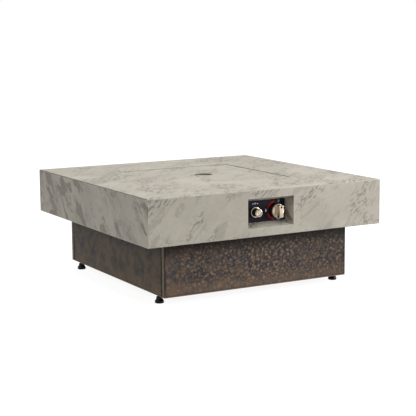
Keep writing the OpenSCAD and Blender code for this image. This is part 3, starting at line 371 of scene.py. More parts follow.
# %% Patina finish
def patina_finish(name, spotted, colours, pale_returns):
    steel = Finish(name, metallic=0.15, roughness=0.5)
    steel.surface["Specular IOR Level"].default_value = 0.04
    # The first colour is the darkest: it paints shade under the top and at the right end, and darkens the
    # edges.
    shade_and_edge_tone, slate, brown, tan = (tone(*c) for c in colours)
    x, _, z = split(steel, steel.places["Object"])
    up = steel.calc("SUBTRACT", z, panel_low)
    cloth = steel.step(steel.grain(26, 4.0, 0.65), 0.34, 0.62)
    ground = steel.mix(cloth, slate, brown)
    pushed = steel.wobble(90, 0.010)
    small = steel.step(steel.cells(120, at=pushed), 0.60, 0.10, to=(0.0, 0.62))
    spots = steel.calc("MAXIMUM", small, steel.step(steel.cells(70, at=pushed), 0.50, 0.10))
    zone = steel.step(steel.grain(9.0, 4.0, 0.65), 0.16, 0.54)
    zone = steel.calc("MULTIPLY", zone, steel.step(up, 0.0, 0.06, to=(0.65, 1.0)))
    zone = steel.calc("MULTIPLY", zone, steel.step(x, -0.36, -0.20, to=(0.45, 1.0)))
    net = tuple(0.6 * c for c in slate[:3]) + (1.0,)
    shell = steel.mix(spots, net, tan)
    ground = steel.mix(steel.calc("MULTIPLY", zone, spotted), ground, shell)
    ground = steel.mix(steel.step(up, 0.07, 0.0, to=(0.0, 0.26)), ground, tan)
    # Painted shade: darker towards the top, under the overhang of the table's top.
    ground = steel.mix(steel.step(up, 0.11, 0.185, to=(0.0, 0.97)), ground, shade_and_edge_tone)
    # Painted shade: a little darker towards the right end, which the front box lights more.
    ground = steel.mix(steel.step(x, 0.0, 0.36, to=(0.0, 0.26)), ground, shade_and_edge_tone)
    specks = steel.step(steel.grain(420, 2.0, 0.6), 0.56, 0.70, to=(0.0, 0.30))
    ground = steel.mix(specks, ground, tan)
    # The folded returns, which face sideways, are streaked a paler tan.
    streaks = steel.grain(1.0, 3.0, at=steel.stretch((60, 160, 30)))
    streaks = steel.step(streaks, 0.36, 0.60, to=(0.45, 1.0))
    returns = steel.calc("MULTIPLY", steel.calc("MULTIPLY", faces_along(steel, 0), streaks), pale_returns)
    ground = steel.mix(returns, ground, tone(108, 93, 72))
    ground = steel.mix(steel.calc("MULTIPLY", steel.edges(0.011), 0.9), ground, shade_and_edge_tone)
    ground = steel.mix(steel.step(up, 0.0045, 0.0015, to=(0.0, 0.8)), ground, tan)
    steel.colour(ground)
    steel.rough(steel.step(spots, 0, 1, to=(0.42, 0.60)))
    steel.bump(steel.calc("ADD", spots, specks), 0.10, 0.0003)
    return steel


panel_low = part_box("front_panel")[0].z
# In each set the first colour is the darkest, used for painted shade and for the dark edges.
MOTTLED = (14, 13, 13), (46, 48, 52), (81, 67, 56), (109, 90, 74)
# The sides' set is darker and less spotted, which partly paints in the shade of the side faces.
CALM_SHADED = (22, 20, 18), (33, 34, 34), (70, 59, 48), (103, 86, 68)
mottled_patina = patina_finish("mottled_patina", 0.82, MOTTLED, 0.9)
calm_shaded_patina = patina_finish("calm_shaded_patina", 0.38, CALM_SHADED, 0.0)
print("patina starts", round(panel_low * 1000, 1), "mm above the floor")

# %% [markdown]
# ## Bright metals
#
# The knob and the igniter are plated in a warm, pale chrome. The pan and the burner are brushed
# stainless steel, with brass, copper and zinc on the gas train. All are metallic shaders. What tells
# them apart is colour, roughness and the direction of the fine scratches, so one recipe takes those
# three as its arguments.


# %% Metal finishes
def metal_finish(name, bright, stain_and_reflection_tone, roughness, scratch):
    metal = Finish(name, metallic=1.0, roughness=roughness)
    bright, stain_and_reflection_tone = bright + (1.0,), stain_and_reflection_tone + (1.0,)
    worn = tuple(min(1, c * 1.2) for c in bright)
    fine = metal.grain(1.0, 3.0, 0.6, at=metal.stretch(scratch))
    # Noise mixes in the second colour as stains; on the chrome that colour is dark and also paints in dark
    # reflections.
    stains_and_reflections = metal.step(metal.grain(30, 3.0, 0.6), 0.45, 0.70)
    body = metal.mix(metal.calc("MULTIPLY", stains_and_reflections, 0.55), bright, stain_and_reflection_tone)
    body = metal.mix(metal.calc("MULTIPLY", metal.edges(0.0008), 0.4), body, worn)
    metal.colour(body)
    metal.rough(metal.step(fine, 0.3, 0.7, to=(roughness * 0.75, roughness * 1.3)))
    metal.bump(fine, 0.06, 0.0002)
    return metal


# Painted reflection: the chrome's dark second colour stands in for reflections of its dark surroundings.
chrome = metal_finish("warm_chrome", (0.54, 0.46, 0.36), (0.22, 0.17, 0.11), 0.16, (900, 900, 60))
stainless = metal_finish("brushed_stainless", (0.60, 0.59, 0.57), (0.47, 0.44, 0.40), 0.34, (40, 700, 700))
zinc = metal_finish("zinc_plate", (0.56, 0.57, 0.58), (0.40, 0.40, 0.41), 0.38, (300, 300, 300))
brass = metal_finish("brass", (0.78, 0.58, 0.28), (0.46, 0.32, 0.15), 0.30, (200, 600, 600))
copper = metal_finish("copper", (0.80, 0.47, 0.30), (0.45, 0.25, 0.17), 0.34, (250, 250, 250))
print("metals:", [m.material.name for m in (chrome, stainless, zinc, brass, copper)])

# %% [markdown]
# ## Blacks, ceramic and rubber
#
# Black things are hard to tell apart unless their gloss differs. The knob's plastic and the feet are
# glossy, the control plate is satin paint, the frame is dull paint and the hoses are rubber. One recipe
# again: a base colour that drifts a little, a roughness that drifts with it, dust-pale edges and a fine
# moulded grain.


# %% Painted and moulded finishes
def coat_finish(name, base, drift, roughness, grain_scale, grain_depth, wear=0.25, gloss=0.5):
    coat = Finish(name, roughness=roughness)
    coat.surface["Specular IOR Level"].default_value = gloss
    cloud = coat.step(coat.grain(45, 3.0, 0.6), 0.35, 0.70)
    body = coat.mix(cloud, tone(*base), tone(*drift))
    body = coat.mix(coat.calc("MULTIPLY", coat.edges(0.0008), wear), body, tone(150, 146, 140))
    coat.colour(body)
    coat.rough(coat.step(cloud, 0, 1, to=(roughness * 0.85, roughness * 1.25)))
    coat.bump(coat.grain(grain_scale, 3.0, 0.6), 0.15, grain_depth)
    return coat


black_plastic = coat_finish("black_plastic", (16, 16, 18), (24, 24, 27), 0.22, 700, 0.0001, 0.10, 0.25)
black_foot = coat_finish("black_foot", (7, 7, 8), (13, 13, 14), 0.16, 500, 0.0001, 0.02, 0.14)
black_paint = coat_finish("black_paint", (14, 12, 20), (21, 19, 28), 0.45, 1200, 0.0001, 0.08, 0.06)
frame_paint = coat_finish("frame_paint", (38, 38, 40), (52, 51, 51), 0.55, 300, 0.0003, 0.30)
ceramic = coat_finish("ceramic", (232, 229, 219), (215, 210, 197), 0.30, 400, 0.0001, 0.10)
rubber = coat_finish("rubber", (24, 24, 24), (36, 35, 34), 0.65, 900, 0.0002, 0.10)
battery_wrap = coat_finish("battery_wrap", (70, 72, 76), (92, 93, 96), 0.25, 300, 0.0001, 0.30)
red_print = coat_finish("red_print", (152, 8, 12), (110, 7, 10), 0.5, 900, 0.0001, 0.03, 0.03)
pale_print = coat_finish("pale_print", (168, 177, 194), (144, 153, 170), 0.5, 900, 0.0001, 0.05, 0.05)
print("blacks, prints, ceramic and rubber ready")

# %% [markdown]
# ## Lava rock and braided hose
#
# Lava is full of burst bubbles, so cells of two sizes are cut into a dark, slightly red base. The feed
# hose is wrapped in woven wire. Two sets of slanted bands, one for each way round the hose, cross each
# other like the real braid: they are read from the hose's own winding coordinates, which its mesh
# carries as a UV map.

# %% Lava and braid finishes
lava = Finish("lava_rock", roughness=0.95)
wide, narrow = lava.step(lava.cells(230), 0.0, 0.45), lava.step(lava.cells(620), 0.0, 0.5)
bubbles = lava.calc("MULTIPLY", wide, narrow)
rust = lava.step(lava.grain(24, 3.0, 0.6), 0.42, 0.66)
crust = lava.mix(rust, tone(62, 54, 50), tone(92, 62, 50))
lava.colour(lava.mix(bubbles, tone(26, 22, 21), crust))
lava.bump(bubbles, 0.9, 0.002)

braid = Finish("steel_braid", metallic=1.0, roughness=0.32)
around, along, _ = split(braid, braid.places["UV"])
left_hand = braid.calc("SINE", braid.calc("ADD", around, along), 0.0)
right_hand = braid.calc("SINE", braid.calc("SUBTRACT", around, along), 0.0)
weave = braid.calc("MAXIMUM", left_hand, right_hand)
braid.colour(braid.mix(braid.step(weave, -0.2, 0.9), (0.20, 0.20, 0.20, 1), (0.66, 0.65, 0.63, 1)))
braid.rough(braid.step(braid.grain(200), 0.3, 0.7, to=(0.26, 0.42)))
braid.bump(weave, 0.6, 0.0006)
print("lava:", len(lava.tree.nodes), "nodes; braid:", len(braid.tree.nodes), "nodes")

# %% [markdown]
# ## Finishes on the CAD solids
#
# The record names a material slot for every solid. A table from slot to finish is enough to dress them
# all in one loop, and no solid stays grey. Only the two side panels need a second look: they get the
# calmer, darker copy of the patina, which partly paints in the shade of the side faces.

# %% Dress every solid
FINISH_OF_SLOT = {
    "concrete": concrete, "patina_steel": mottled_patina, "stainless": stainless, "chrome": chrome,
    "black_plastic": black_plastic, "black_foot": black_foot, "black_paint": black_paint,
    "frame_steel": frame_paint, "zinc_steel": zinc, "brass": brass, "copper": copper, "ceramic": ceramic,
    "lava": lava, "rubber": rubber, "braided_hose": braid, "battery": battery_wrap,
}


def lay_finish(solid, finish):
    solid.data.materials.clear()
    solid.data.materials.append(finish.material)


slot_of = {row["node"]: row["material_slot"] for row in frame["record"]["subparts"]}
for name, solid in nodes.items():
    lay_finish(solid, FINISH_OF_SLOT[slot_of[name]])
# The side panels get the calmer copy of the patina, whose darkness is partly painted shade.
for name in ("left_panel", "right_panel"):
    lay_finish(nodes[name], calm_shaded_patina)
print("dressed", len(nodes), "solids in", len(FINISH_OF_SLOT), "finishes")

# %% [markdown]
# ## Turned pieces
#
# The knob, the button and their rings are turned or moulded round an axis. A lathe is the natural tool:
# a profile of radius and height is swept round, and each pair of neighbouring rings is joined by quads.
# Screw and Spin modifiers can do the same, but a direct loop lets the radius change round the circle
# too, which gives ribs and knurls for free.


# %% Lathe and piece helpers
def finished_piece(mesh_builder, name, body, finish, smooth_deg=38):
    mesh = bpy.data.meshes.new(name)
    bmesh.ops.recalc_face_normals(mesh_builder, faces=mesh_builder.faces)
    mesh_builder.to_mesh(mesh)
    mesh_builder.free()
    mesh.materials.append(finish.material)
    mesh.polygons.foreach_set("use_smooth", [True] * len(mesh.polygons))
    mesh.set_sharp_from_angle(angle=math.radians(smooth_deg))
    piece = bpy.data.objects.new(name, mesh)
    bpy.context.scene.collection.objects.link(piece)
    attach(piece, body)
    return piece


def lathe(builder, profile, sides, place, ripple=None):
    """Sweeps (radius, height) pairs round an axis; a pair with no radius closes to a point."""
    rings = []
    for radius, height in profile:
        if radius == 0:
            rings.append([builder.verts.new(place @ Vector((0, 0, height)))])
            continue
        ring = []
        for k in range(sides):
            angle = 2 * math.pi * k / sides
            r = radius + (ripple(angle, height) if ripple else 0)
            spot = Vector((r * math.cos(angle), r * math.sin(angle), height))
            ring.append(builder.verts.new(place @ spot))
        rings.append(ring)
    for low, high in zip(rings, rings[1:]):
        for k in range(sides):
            j = k + 1
            corners = [low[k % len(low)], low[j % len(low)], high[j % len(high)], high[k % len(high)]]
            builder.faces.new(list(dict.fromkeys(corners)))


def facing_front(x, y, z):
    """A place whose own +Z looks out of the front of the table, with +Y up."""
    return Matrix.Translation((x, y, z)) @ Matrix.Rotation(math.radians(90), 4, "X")


def rounded(r, low, high, fillet, steps=4):
    """A profile's outer corner: up at r, then a quarter round in to r - fillet at the height high."""
    bend = [(r - fillet + fillet * math.cos(a), high - fillet + fillet * math.sin(a))
            for a in (math.pi / 2 * i / steps for i in range(steps + 1))]
    return [(r, low)] + bend


skirt_low, skirt_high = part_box("knob_skirt")
knob_x, knob_z = (skirt_low.x + skirt_high.x) / 2, (skirt_low.z + skirt_high.z) / 2
plate_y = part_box("control_plate")[0].y
print("knob axis at", round(knob_x, 4), round(knob_z, 4))

# %% [markdown]
# ## The gas knob
#
# The knob has a black moulded skirt with fine finger ribs, and a plated cap: a domed disc with a tall
# grip bar across it, slightly waisted, and a dark pointer dot near the top of the bar. The bar is a
# loft: one outline, repeated at several heights and drawn in a little near the front, so its front edge
# is properly rounded.

# %% Knob skirt
skirt_y, skirt_l = skirt_high.y, skirt_high.y - skirt_low.y
skirt_r = (skirt_high.x - skirt_low.x) / 2
STEM_R, RIB_COUNT, RIB_DEPTH = 0.0041, 48, 0.0005


def finger_ribs(angle, height):
    on_wall = 0.0012 < height < skirt_l - 0.0022
    return -RIB_DEPTH * (0.5 + 0.5 * math.cos(RIB_COUNT * angle)) if on_wall else 0.0


builder = bmesh.new()
wall = [(skirt_r - 0.0004, 0.0), (skirt_r, 0.0004), (skirt_r, 0.0010), (skirt_r, 0.0014)]
wall += [(skirt_r, skirt_l * 0.5), (skirt_r, skirt_l - 0.0024)]
wall += rounded(skirt_r, skirt_l - 0.0020, skirt_l, 0.0015)
lathe(builder, [(STEM_R, 0.0)] + wall + [(STEM_R, skirt_l), (STEM_R, 0.0)], 192,
      facing_front(knob_x, skirt_y, knob_z), finger_ribs)
knob_skirt = finished_piece(builder, "knob_skirt_ribbed", "gas_knob", black_plastic)
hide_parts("knob_skirt")
print("ribbed skirt", round(2000 * skirt_r, 1), "mm across")

# %% [markdown]
# The cap's disc is lathe work with a fine groove near its rim. The bar's outline has round ends that
# lie on one circle and flanks that curve in, so two short loops give its points.

# %% Knob cap
cap_low, cap_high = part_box("knob_cap")
cap_r = (cap_high.x - cap_low.x) / 2
cap_y, cap_l = cap_high.y, cap_high.y - cap_low.y
DISC_T, GRIP_HALF_L, GRIP_HALF_W, GRIP_WAIST, GRIP_ROUND = 0.0035, 0.0215, 0.009, 0.0014, 0.0022
END_STEPS, FLANK_STEPS = 14, 12


def grip_ring(inset):
    """The bar's outline, drawn in by inset: round ends on a circle, waisted flanks between them."""
    points = []
    half_l, half_w = GRIP_HALF_L - inset, GRIP_HALF_W - inset
    end_angle = math.acos(half_w / half_l)
    for end in (0, 1):
        for i in range(END_STEPS + 1):
            a = end_angle + (math.pi - 2 * end_angle) * i / END_STEPS + math.pi * end
            points.append((half_l * math.cos(a), half_l * math.sin(a)))
        flank = half_l * math.sin(end_angle)
        for i in range(1, FLANK_STEPS):
            t = 1 - 2 * i / FLANK_STEPS
            waist = half_w - GRIP_WAIST * (1 - t * t)
            points.append((-waist, flank * t) if end == 0 else (waist, -flank * t))
    return points


builder = bmesh.new()
knob_face = facing_front(knob_x, cap_y, knob_z)
disc = rounded(cap_r, 0.0, DISC_T - 0.0008, 0.0012) + [
    (cap_r - 0.0022, DISC_T - 0.0009), (cap_r - 0.0026, DISC_T - 0.0013), (cap_r - 0.0031, DISC_T - 0.0013),
    (cap_r - 0.0035, DISC_T - 0.0007), (cap_r * 0.6, DISC_T - 0.0002), (0.004, DISC_T)]
lathe(builder, [(0, 0.0)] + disc + [(0, DISC_T)], 96, knob_face)
heights = [(DISC_T * 0.4, 0.0), (DISC_T, 0.0), (cap_l - GRIP_ROUND, 0.0003)]
heights += [(cap_l - GRIP_ROUND * (1 - math.sin(a)), 0.0003 + GRIP_ROUND * (1 - math.cos(a)))
            for a in (math.pi / 2 * i / 5 for i in range(1, 6))]
loft = []
for height, inset in heights:
    loft.append([builder.verts.new(knob_face @ Vector((x, y, height))) for x, y in grip_ring(inset)])
for low, high in zip(loft, loft[1:]):
    for k in range(len(low)):
        j = (k + 1) % len(low)
        builder.faces.new((low[k], low[j], high[j], high[k]))
builder.faces.new(loft[0])
builder.faces.new(loft[-1])
knob_cap = finished_piece(builder, "knob_cap_plated", "gas_knob", chrome, 30)
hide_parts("knob_cap")
print("grip bar", round(2000 * GRIP_HALF_L, 1), "mm long,", round(1000 * (cap_l - DISC_T), 1), "mm high")

# %% [markdown]
# A low black button near the upper end of the bar shows which way the knob points.

# %% Pointer dot
DOT_R, DOT_INSET = 0.0040, 0.0068
builder = bmesh.new()
dot = facing_front(knob_x, cap_low.y, knob_z + GRIP_HALF_L - DOT_INSET)
button = [(0, -0.0006), (DOT_R, -0.0006), (DOT_R, 0.0), (DOT_R - 0.0006, 0.0002), (0, 0.0003)]
lathe(builder, button, 32, dot)
finished_piece(builder, "knob_pointer_dot", "gas_knob", black_plastic)
print("pointer dot on the grip")

# %% [markdown]
# ## The igniter
#
# The igniter is a screw-in battery holder with a push cap. Its bezel nut has a knurled edge. The cap
# has a black moulded wall and a plated front with a raised rim, a groove with a dark inlay and a gently
# hollow face. All are lathe work, with a ripple for the knurl. Wall and front are one mesh, so the
# finish changes from face to face at the front's height.

# %% Igniter nut
nut_low, nut_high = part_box("igniter_nut")
igniter_x, igniter_z = (nut_low.x + nut_high.x) / 2, (nut_low.z + nut_high.z) / 2
nut_r, nut_t = (nut_high.x - nut_low.x) / 2, nut_high.y - nut_low.y
NUT_BORE, KNURL_COUNT, KNURL_DEPTH = 0.01106, 60, 0.00035


def knurl(angle, height):
    on_edge = 0.0004 < height < nut_t - 0.0022
    return -KNURL_DEPTH * (0.5 + 0.5 * math.cos(KNURL_COUNT * angle)) if on_edge else 0.0


builder = bmesh.new()
ring = [(NUT_BORE, 0.0), (nut_r - 0.0004, 0.0), (nut_r, 0.0005), (nut_r, 0.0015)]
ring += rounded(nut_r, nut_t - 0.0024, nut_t, 0.0018)
ring += [(NUT_BORE + 0.0020, nut_t), (NUT_BORE + 0.0012, nut_t - 0.0006), (NUT_BORE, nut_t - 0.0010)]
lathe(builder, ring + [(NUT_BORE, 0.0)], 180, facing_front(igniter_x, nut_high.y, igniter_z), knurl)
igniter_ring = finished_piece(builder, "igniter_bezel_knurled", "table", chrome)
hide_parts("igniter_nut")
print("igniter nut", round(2000 * nut_r, 1), "mm across")

# %% [markdown]
# The cap's profile starts on the axis inside, runs down the bore, round the rear edge and up the wall,
# and ends on the axis in front. Faces in front of the wall keep the plating, and the rest turn black.

# %% Igniter cap
button_low, button_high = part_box("igniter_button")
button_r, button_l = (button_high.x - button_low.x) / 2, button_high.y - button_low.y
SKIRT_BORE, CAP_T = 0.0113, 0.004
r, front = button_r, button_l
cup = [(0, front - CAP_T), (SKIRT_BORE, front - CAP_T), (SKIRT_BORE, 0.0), (r - 0.0004, 0.0), (r, 0.0004)]
cup += [(r, front * 0.35), (r, front * 0.40)]
cup += [(r - 0.0005, front * 0.43), (r - 0.0005, front * 0.50), (r, front * 0.53)]
cup += rounded(r, front * 0.58, front, 0.0016)
cup += [(r - 0.0030, front), (r - 0.0036, front - 0.0009), (r - 0.0044, front - 0.0009)]
cup += [(r - 0.0050, front - 0.0003), (r * 0.35, front - 0.0009), (0, front - 0.0011)]
builder = bmesh.new()
lathe(builder, cup, 96, facing_front(igniter_x, button_high.y, igniter_z))
igniter_cap = finished_piece(builder, "igniter_cap_plated", "igniter_button", chrome)
igniter_cap.data.materials.append(black_plastic.material)
for face in igniter_cap.data.polygons:
    face.material_index = int(face.center.y > button_low.y + CAP_T)
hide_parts("igniter_button")
inner, outer = button_r - 0.0040 - 0.0006, button_r - 0.0040 + 0.0006
inlay = [(inner, -0.0009), (outer, -0.0009), (outer, -0.0004), (inner, -0.0004), (inner, -0.0009)]
builder = bmesh.new()
lathe(builder, inlay, 64, facing_front(igniter_x, button_low.y, igniter_z))
finished_piece(builder, "igniter_cap_inlay", "igniter_button", black_plastic)
print("igniter cap", round(2000 * button_r, 1), "mm across,", round(1000 * button_l, 1), "mm long")

# %% [markdown]
# ## Print on the control plate
#
# The plate carries a red ring in two parts round the knob and a few small pale marks. Printing ink is a
# film, so each mark is a thin plate two tenths of a millimetre thick that lies on the paint. A flat
# outline is drawn, then given its thickness. The marks are plain signs that any such plate could have:
# a spark between two dashes, a ring for off, one flame, a row of three and a short red tick.

# %% Outlines of the marks
INK = 0.0002


def ink_mark(name, outline, x, z, finish):
    """A closed outline in the plate's plane, in metres round x and z, raised by the ink's thickness."""
    builder = bmesh.new()
    place = facing_front(x, plate_y, z)
    back = [builder.verts.new(place @ Vector((px, py, 0))) for px, py in outline]
    front = [builder.verts.new(place @ Vector((px, py, INK))) for px, py in outline]
    builder.faces.new(back)
    builder.faces.new(front)
    for k in range(len(outline)):
        j = (k + 1) % len(outline)
        builder.faces.new((back[k], back[j], front[j], front[k]))
    finished_piece(builder, name, "table", finish)


def bar_outline(half_w, half_h):
    return [(half_w * x, half_h * y) for x, y in SQUARE]


def arc_outline(start_deg, end_deg, start_w, end_w, radius, steps=40):
    """A band that changes in width, between two angles counted anticlockwise from the right."""
    shares = [i / steps for i in range(steps + 1)]
    angles = [math.radians(start_deg + (end_deg - start_deg) * s) for s in shares]
    widths = [start_w + (end_w - start_w) * s for s in shares]

    def edge(way):
        radii = [radius + way * w / 2 for w in widths]
        return [(r * math.cos(a), r * math.sin(a)) for r, a in zip(radii, angles)]

    return edge(1) + edge(-1)[::-1]


def flame_outline(size, steps=28):
    """A drop with a drawn-out tip."""
    points = []
    for a in (2 * math.pi * i / steps for i in range(steps)):
        rise = max(0, math.sin(a))
        half_w = 0.42 * size * (1 - 0.55 * rise)
        points.append((half_w * math.cos(a), 0.6 * size * math.sin(a) + 0.35 * size * rise ** 4))
    return points


print("ink", INK * 1000, "mm thick")

# %% [markdown]
# The arcs change in width along their way. Each sign is placed by its distance from the axis of the
# knob or of the igniter.

# %% Red arcs and pale marks
RING_R = 0.0312
ink_mark("print_arc_high", arc_outline(96, 168, 0.0042, 0.0052, RING_R), knob_x, knob_z, red_print)
ink_mark("print_arc_low", arc_outline(196, 262, 0.0052, 0.0036, RING_R), knob_x, knob_z, red_print)
spark = [(-0.2, 1.0), (0.35, 1.0), (0.08, 0.25), (0.5, 0.25), (-0.35, -1.0), (-0.08, -0.1), (-0.5, -0.1)]
mark_z = igniter_z + 0.0285
ink_mark("print_spark", [(0.0060 * x, 0.0036 * y) for x, y in spark], igniter_x, mark_z, pale_print)
dash, tick = bar_outline(0.0034, 0.0009), bar_outline(0.0012, 0.0032)
for side, way in (("left", -1), ("right", 1)):
    ink_mark("print_dash_" + side, dash, igniter_x + way * 0.0085, mark_z, pale_print)
off_ring = arc_outline(0, 350, 0.0014, 0.0014, 0.0028)
ink_mark("print_off_ring", off_ring, knob_x + 0.012, knob_z + 0.0315, pale_print)
ink_mark("print_flame_lone", flame_outline(0.0074), knob_x - 0.0385, knob_z + 0.0020, pale_print)
for number in range(3):
    name, x = "print_flame_row_" + str(number + 1), knob_x + 0.0065 + 0.0055 * number
    ink_mark(name, flame_outline(0.0046), x, knob_z - 0.0298, pale_print)
ink_mark("print_tick", tick, igniter_x - 0.027, igniter_z, red_print)
print("ink ring", round(2000 * RING_R, 1), "mm across")

# %% [markdown]
# ## Lava rocks
#
# The bed under the lid is loose lava. The CAD rocks are convex lumps with flat facets. Each is replaced
# by a ball whose every point is moved out along its own ray until it meets the lump's facets. A soft
# minimum over the facets rounds their edges, and noise then eats pits into the skin. The new rock can't
# leave the old one's space.

# %% Lava bed
ROCK_DETAIL, ROCK_SOFT = 3, 0.0016


def rock_lumps(mesh):
    """The facets of each separate rock, as (normal, distance from the rock's middle) with that middle."""
    source = bmesh.new()
    source.from_mesh(mesh)
    bmesh.ops.remove_doubles(source, verts=source.verts, dist=1e-6)
    source.normal_update()
    seen, lumps = set(), []
    for start in source.faces:
        if start in seen:
            continue
        patch, queue = [], [start]
        seen.add(start)
        while queue:
            face = queue.pop()
            patch.append(face)
            for other in (f for e in face.edges for f in e.link_faces):
                if other not in seen:
                    seen.add(other)
                    queue.append(other)
        corners = {v for f in patch for v in f.verts}
        middle = sum((v.co for v in corners), Vector()) / len(corners)
        facets = {}
        for face in (f for f in patch if f.calc_area() > 1e-9):
            key = tuple(round(c, 3) for c in face.normal)
            facets[key] = face.normal.copy(), face.normal.dot(face.verts[0].co - middle)
        lumps.append((middle, list(facets.values())))
    source.free()
    return lumps


def reach(facets, ray):
    """How far a ray goes before it meets the facets, with the corners softened."""
    hits = [d / n.dot(ray) for n, d in facets if n.dot(ray) > 0.05]
    nearest = min(hits)
    return nearest - ROCK_SOFT * math.log(sum(math.exp((nearest - h) / ROCK_SOFT) for h in hits))


builder = bmesh.new()
lumps = rock_lumps(nodes["lava_rocks"].data)
for number, (middle, facets) in enumerate(lumps):
    made = bmesh.ops.create_icosphere(builder, subdivisions=ROCK_DETAIL, radius=1.0)
    for vert in made["verts"]:
        ray = vert.co.normalized()
        far = reach(facets, ray)
        spot = middle + ray * far
        pit = 0.5 + 0.5 * noise.noise(spot * 140 + Vector((number, 0, 0)))
        pit += 0.5 * max(0, noise.noise(spot * 330))
        vert.co = middle + ray * max(0.004, far - 0.0022 * pit)
lava_bed = finished_piece(builder, "lava_bed", "table", lava, 180)
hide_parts("lava_rocks")
print("lava bed of", len(lumps), "rocks,", len(lava_bed.data.polygons), "faces")

# %% [markdown]
# ## Lava gravel
#
# Grit and small bits that break off the rocks cover the floor of the pan between them. The grit is a
# sheet of small squares whose heights follow a cell pattern, so that every cell swells up like a
# pebble. It is left open where the burner's hub, the pilot or a drain stands, then pulled down to the
# floor to make it solid. The larger bits lie on a honeycomb of places, each pushed about by a seeded
# random number so that no rows show.

# %% Grit on the pan floor
PAN_FLANGE_W, HUB_R, DRAIN_R, DRAIN_INSET = 0.0235, 0.0172, 0.010, 0.032
GRIT_STEP, GRIT_LOW, GRIT_HIGH, GRIT_CELLS = 0.0028, 0.0010, 0.0050, 115
floor_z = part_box("lava_rocks")[0].z
pan_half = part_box("burner_lid")[1].x - PAN_FLANGE_W
pilot_low, pilot_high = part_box("pilot_bracket")


def floor_is_free(x, y, r):
    """Whether a spot on the pan floor, with r round it, is clear of walls, hub, drains and pilot."""
    walls = max(abs(x), abs(y)) < pan_half - r
    hub = math.hypot(x, y) > HUB_R + r
    drains = math.hypot(abs(x) - pan_half + DRAIN_INSET, abs(y) - pan_half + DRAIN_INSET) > DRAIN_R + r
    pilot = not (pilot_low.x - r < x < pilot_high.x + r and pilot_low.y - r < y < pilot_high.y + r)
    return walls and hub and drains and pilot


def grit_height(x, y):
    nearest = noise.voronoi(Vector((x, y, 0)) * GRIT_CELLS)[0][0]
    swell = math.sqrt(max(0.0, 1 - 1.6 * nearest * nearest))
    return GRIT_LOW + GRIT_HIGH * swell * (0.7 + 0.6 * noise.noise(Vector((x, y, 0)) * 60))


builder = bmesh.new()
count = int(pan_half / GRIT_STEP)
grid = {}
for i in range(-count, count + 1):
    for j in range(-count, count + 1):
        x, y = i * GRIT_STEP, j * GRIT_STEP
        if floor_is_free(x, y, 0.001):
            grid[i, j] = builder.verts.new((x, y, floor_z + grit_height(x, y)))
for i, j in list(grid):
    corners = [grid.get(key) for key in ((i, j), (i + 1, j), (i + 1, j + 1), (i, j + 1))]
    if all(corners):
        builder.faces.new(corners)
bmesh.ops.delete(builder, geom=[v for v in builder.verts if not v.link_faces], context="VERTS")
sheet = bmesh.ops.extrude_face_region(builder, geom=builder.faces[:])
for vert in (part for part in sheet["geom"] if isinstance(part, bmesh.types.BMVert)):
    vert.co.z = floor_z + 0.0001
lava_grit = finished_piece(builder, "lava_grit", "table", lava, 60)
print("grit sheet of", len(lava_grit.data.polygons), "faces")

# %% [markdown]
# A bit is a small ball, dented by noise and a little flattened. None lies under a rock.

# %% Loose bits on the grit
BIT_PITCH, BIT_R, ROCK_R = 0.0150, 0.0062, 0.0165
rubble = random.Random(11)
builder = bmesh.new()
bits, rows = 0, int(pan_half / BIT_PITCH) + 1
for j in range(-rows, rows + 1):
    for i in range(-rows, rows + 1):
        r = BIT_R * rubble.uniform(0.70, 1.12)
        x = (i + j % 2 / 2) * BIT_PITCH + rubble.uniform(-0.004, 0.004)
        y = j * BIT_PITCH * 0.9 + rubble.uniform(-0.004, 0.004)
        shape = Vector((rubble.uniform(0, 50), 0, 0))
        by_rock = any(math.hypot(x - rock.x, y - rock.y) < ROCK_R + 0.5 * r for rock, _ in lumps)
        if by_rock or not floor_is_free(x, y, 1.3 * r):
            continue
        made = bmesh.ops.create_icosphere(builder, subdivisions=2, radius=1.0)
        for vert in made["verts"]:
            ray = Vector((vert.co.x, vert.co.y, 0.85 * vert.co.z))
            dent = 1 + 0.35 * noise.noise(vert.co * 1.7 + shape)
            vert.co = Vector((x, y, floor_z + 0.002 + 0.85 * r)) + ray * r * dent
            vert.co.z = max(vert.co.z, floor_z + 0.0002)
        bits += 1
finished_piece(builder, "lava_bits", "table", lava, 180)
print(bits, "loose bits of lava")

# %% [markdown]
# ## Hoses and leads
#
# Inside the base, a rubber hose runs from the inlet at the back to the valve, a braided one from the
# valve to the burner, and two thin leads from the pilot to the valve and the igniter. Each follows the
# CAD's route: its ends are read from the fittings, and the points between repeat the CAD's list, as
# shares of the way from end to end. A smooth curve through the points carries a ring of vertices
# along. The side direction is carried from ring to ring rather than worked out afresh, so that the
# tube never twists.

# %% Routes of the hoses and leads
HOSE_R, LEAD_R = 0.006, 0.0015
SUPPLY_BOW, FEED_BOW, LEAD_BOW, STRAIGHT = 0.080, 0.052, 0.010, 0.014
SUPPLY_PORT, FEED_PORT = 0.020, 0.038


def route(start, leave, bow, points, arrive, end):
    """Both ends, each with a straight beside it; points between are (sideways, plan, height) shares."""
    between = []
    for out, plan, drop in points:
        x = start.x + (end.x - start.x) * plan + out * bow
        y = start.y + (end.y - start.y) * plan
        between.append(Vector((x, y, start.z + (end.z - start.z) * drop)))
    return [start, start + Vector(leave)] + between + [end + Vector(arrive), end]


def foot_of(node):
    """The middle of a node's lower end."""
    low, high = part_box(node)
    return Vector(((low.x + high.x) / 2, (low.y + high.y) / 2, low.z))


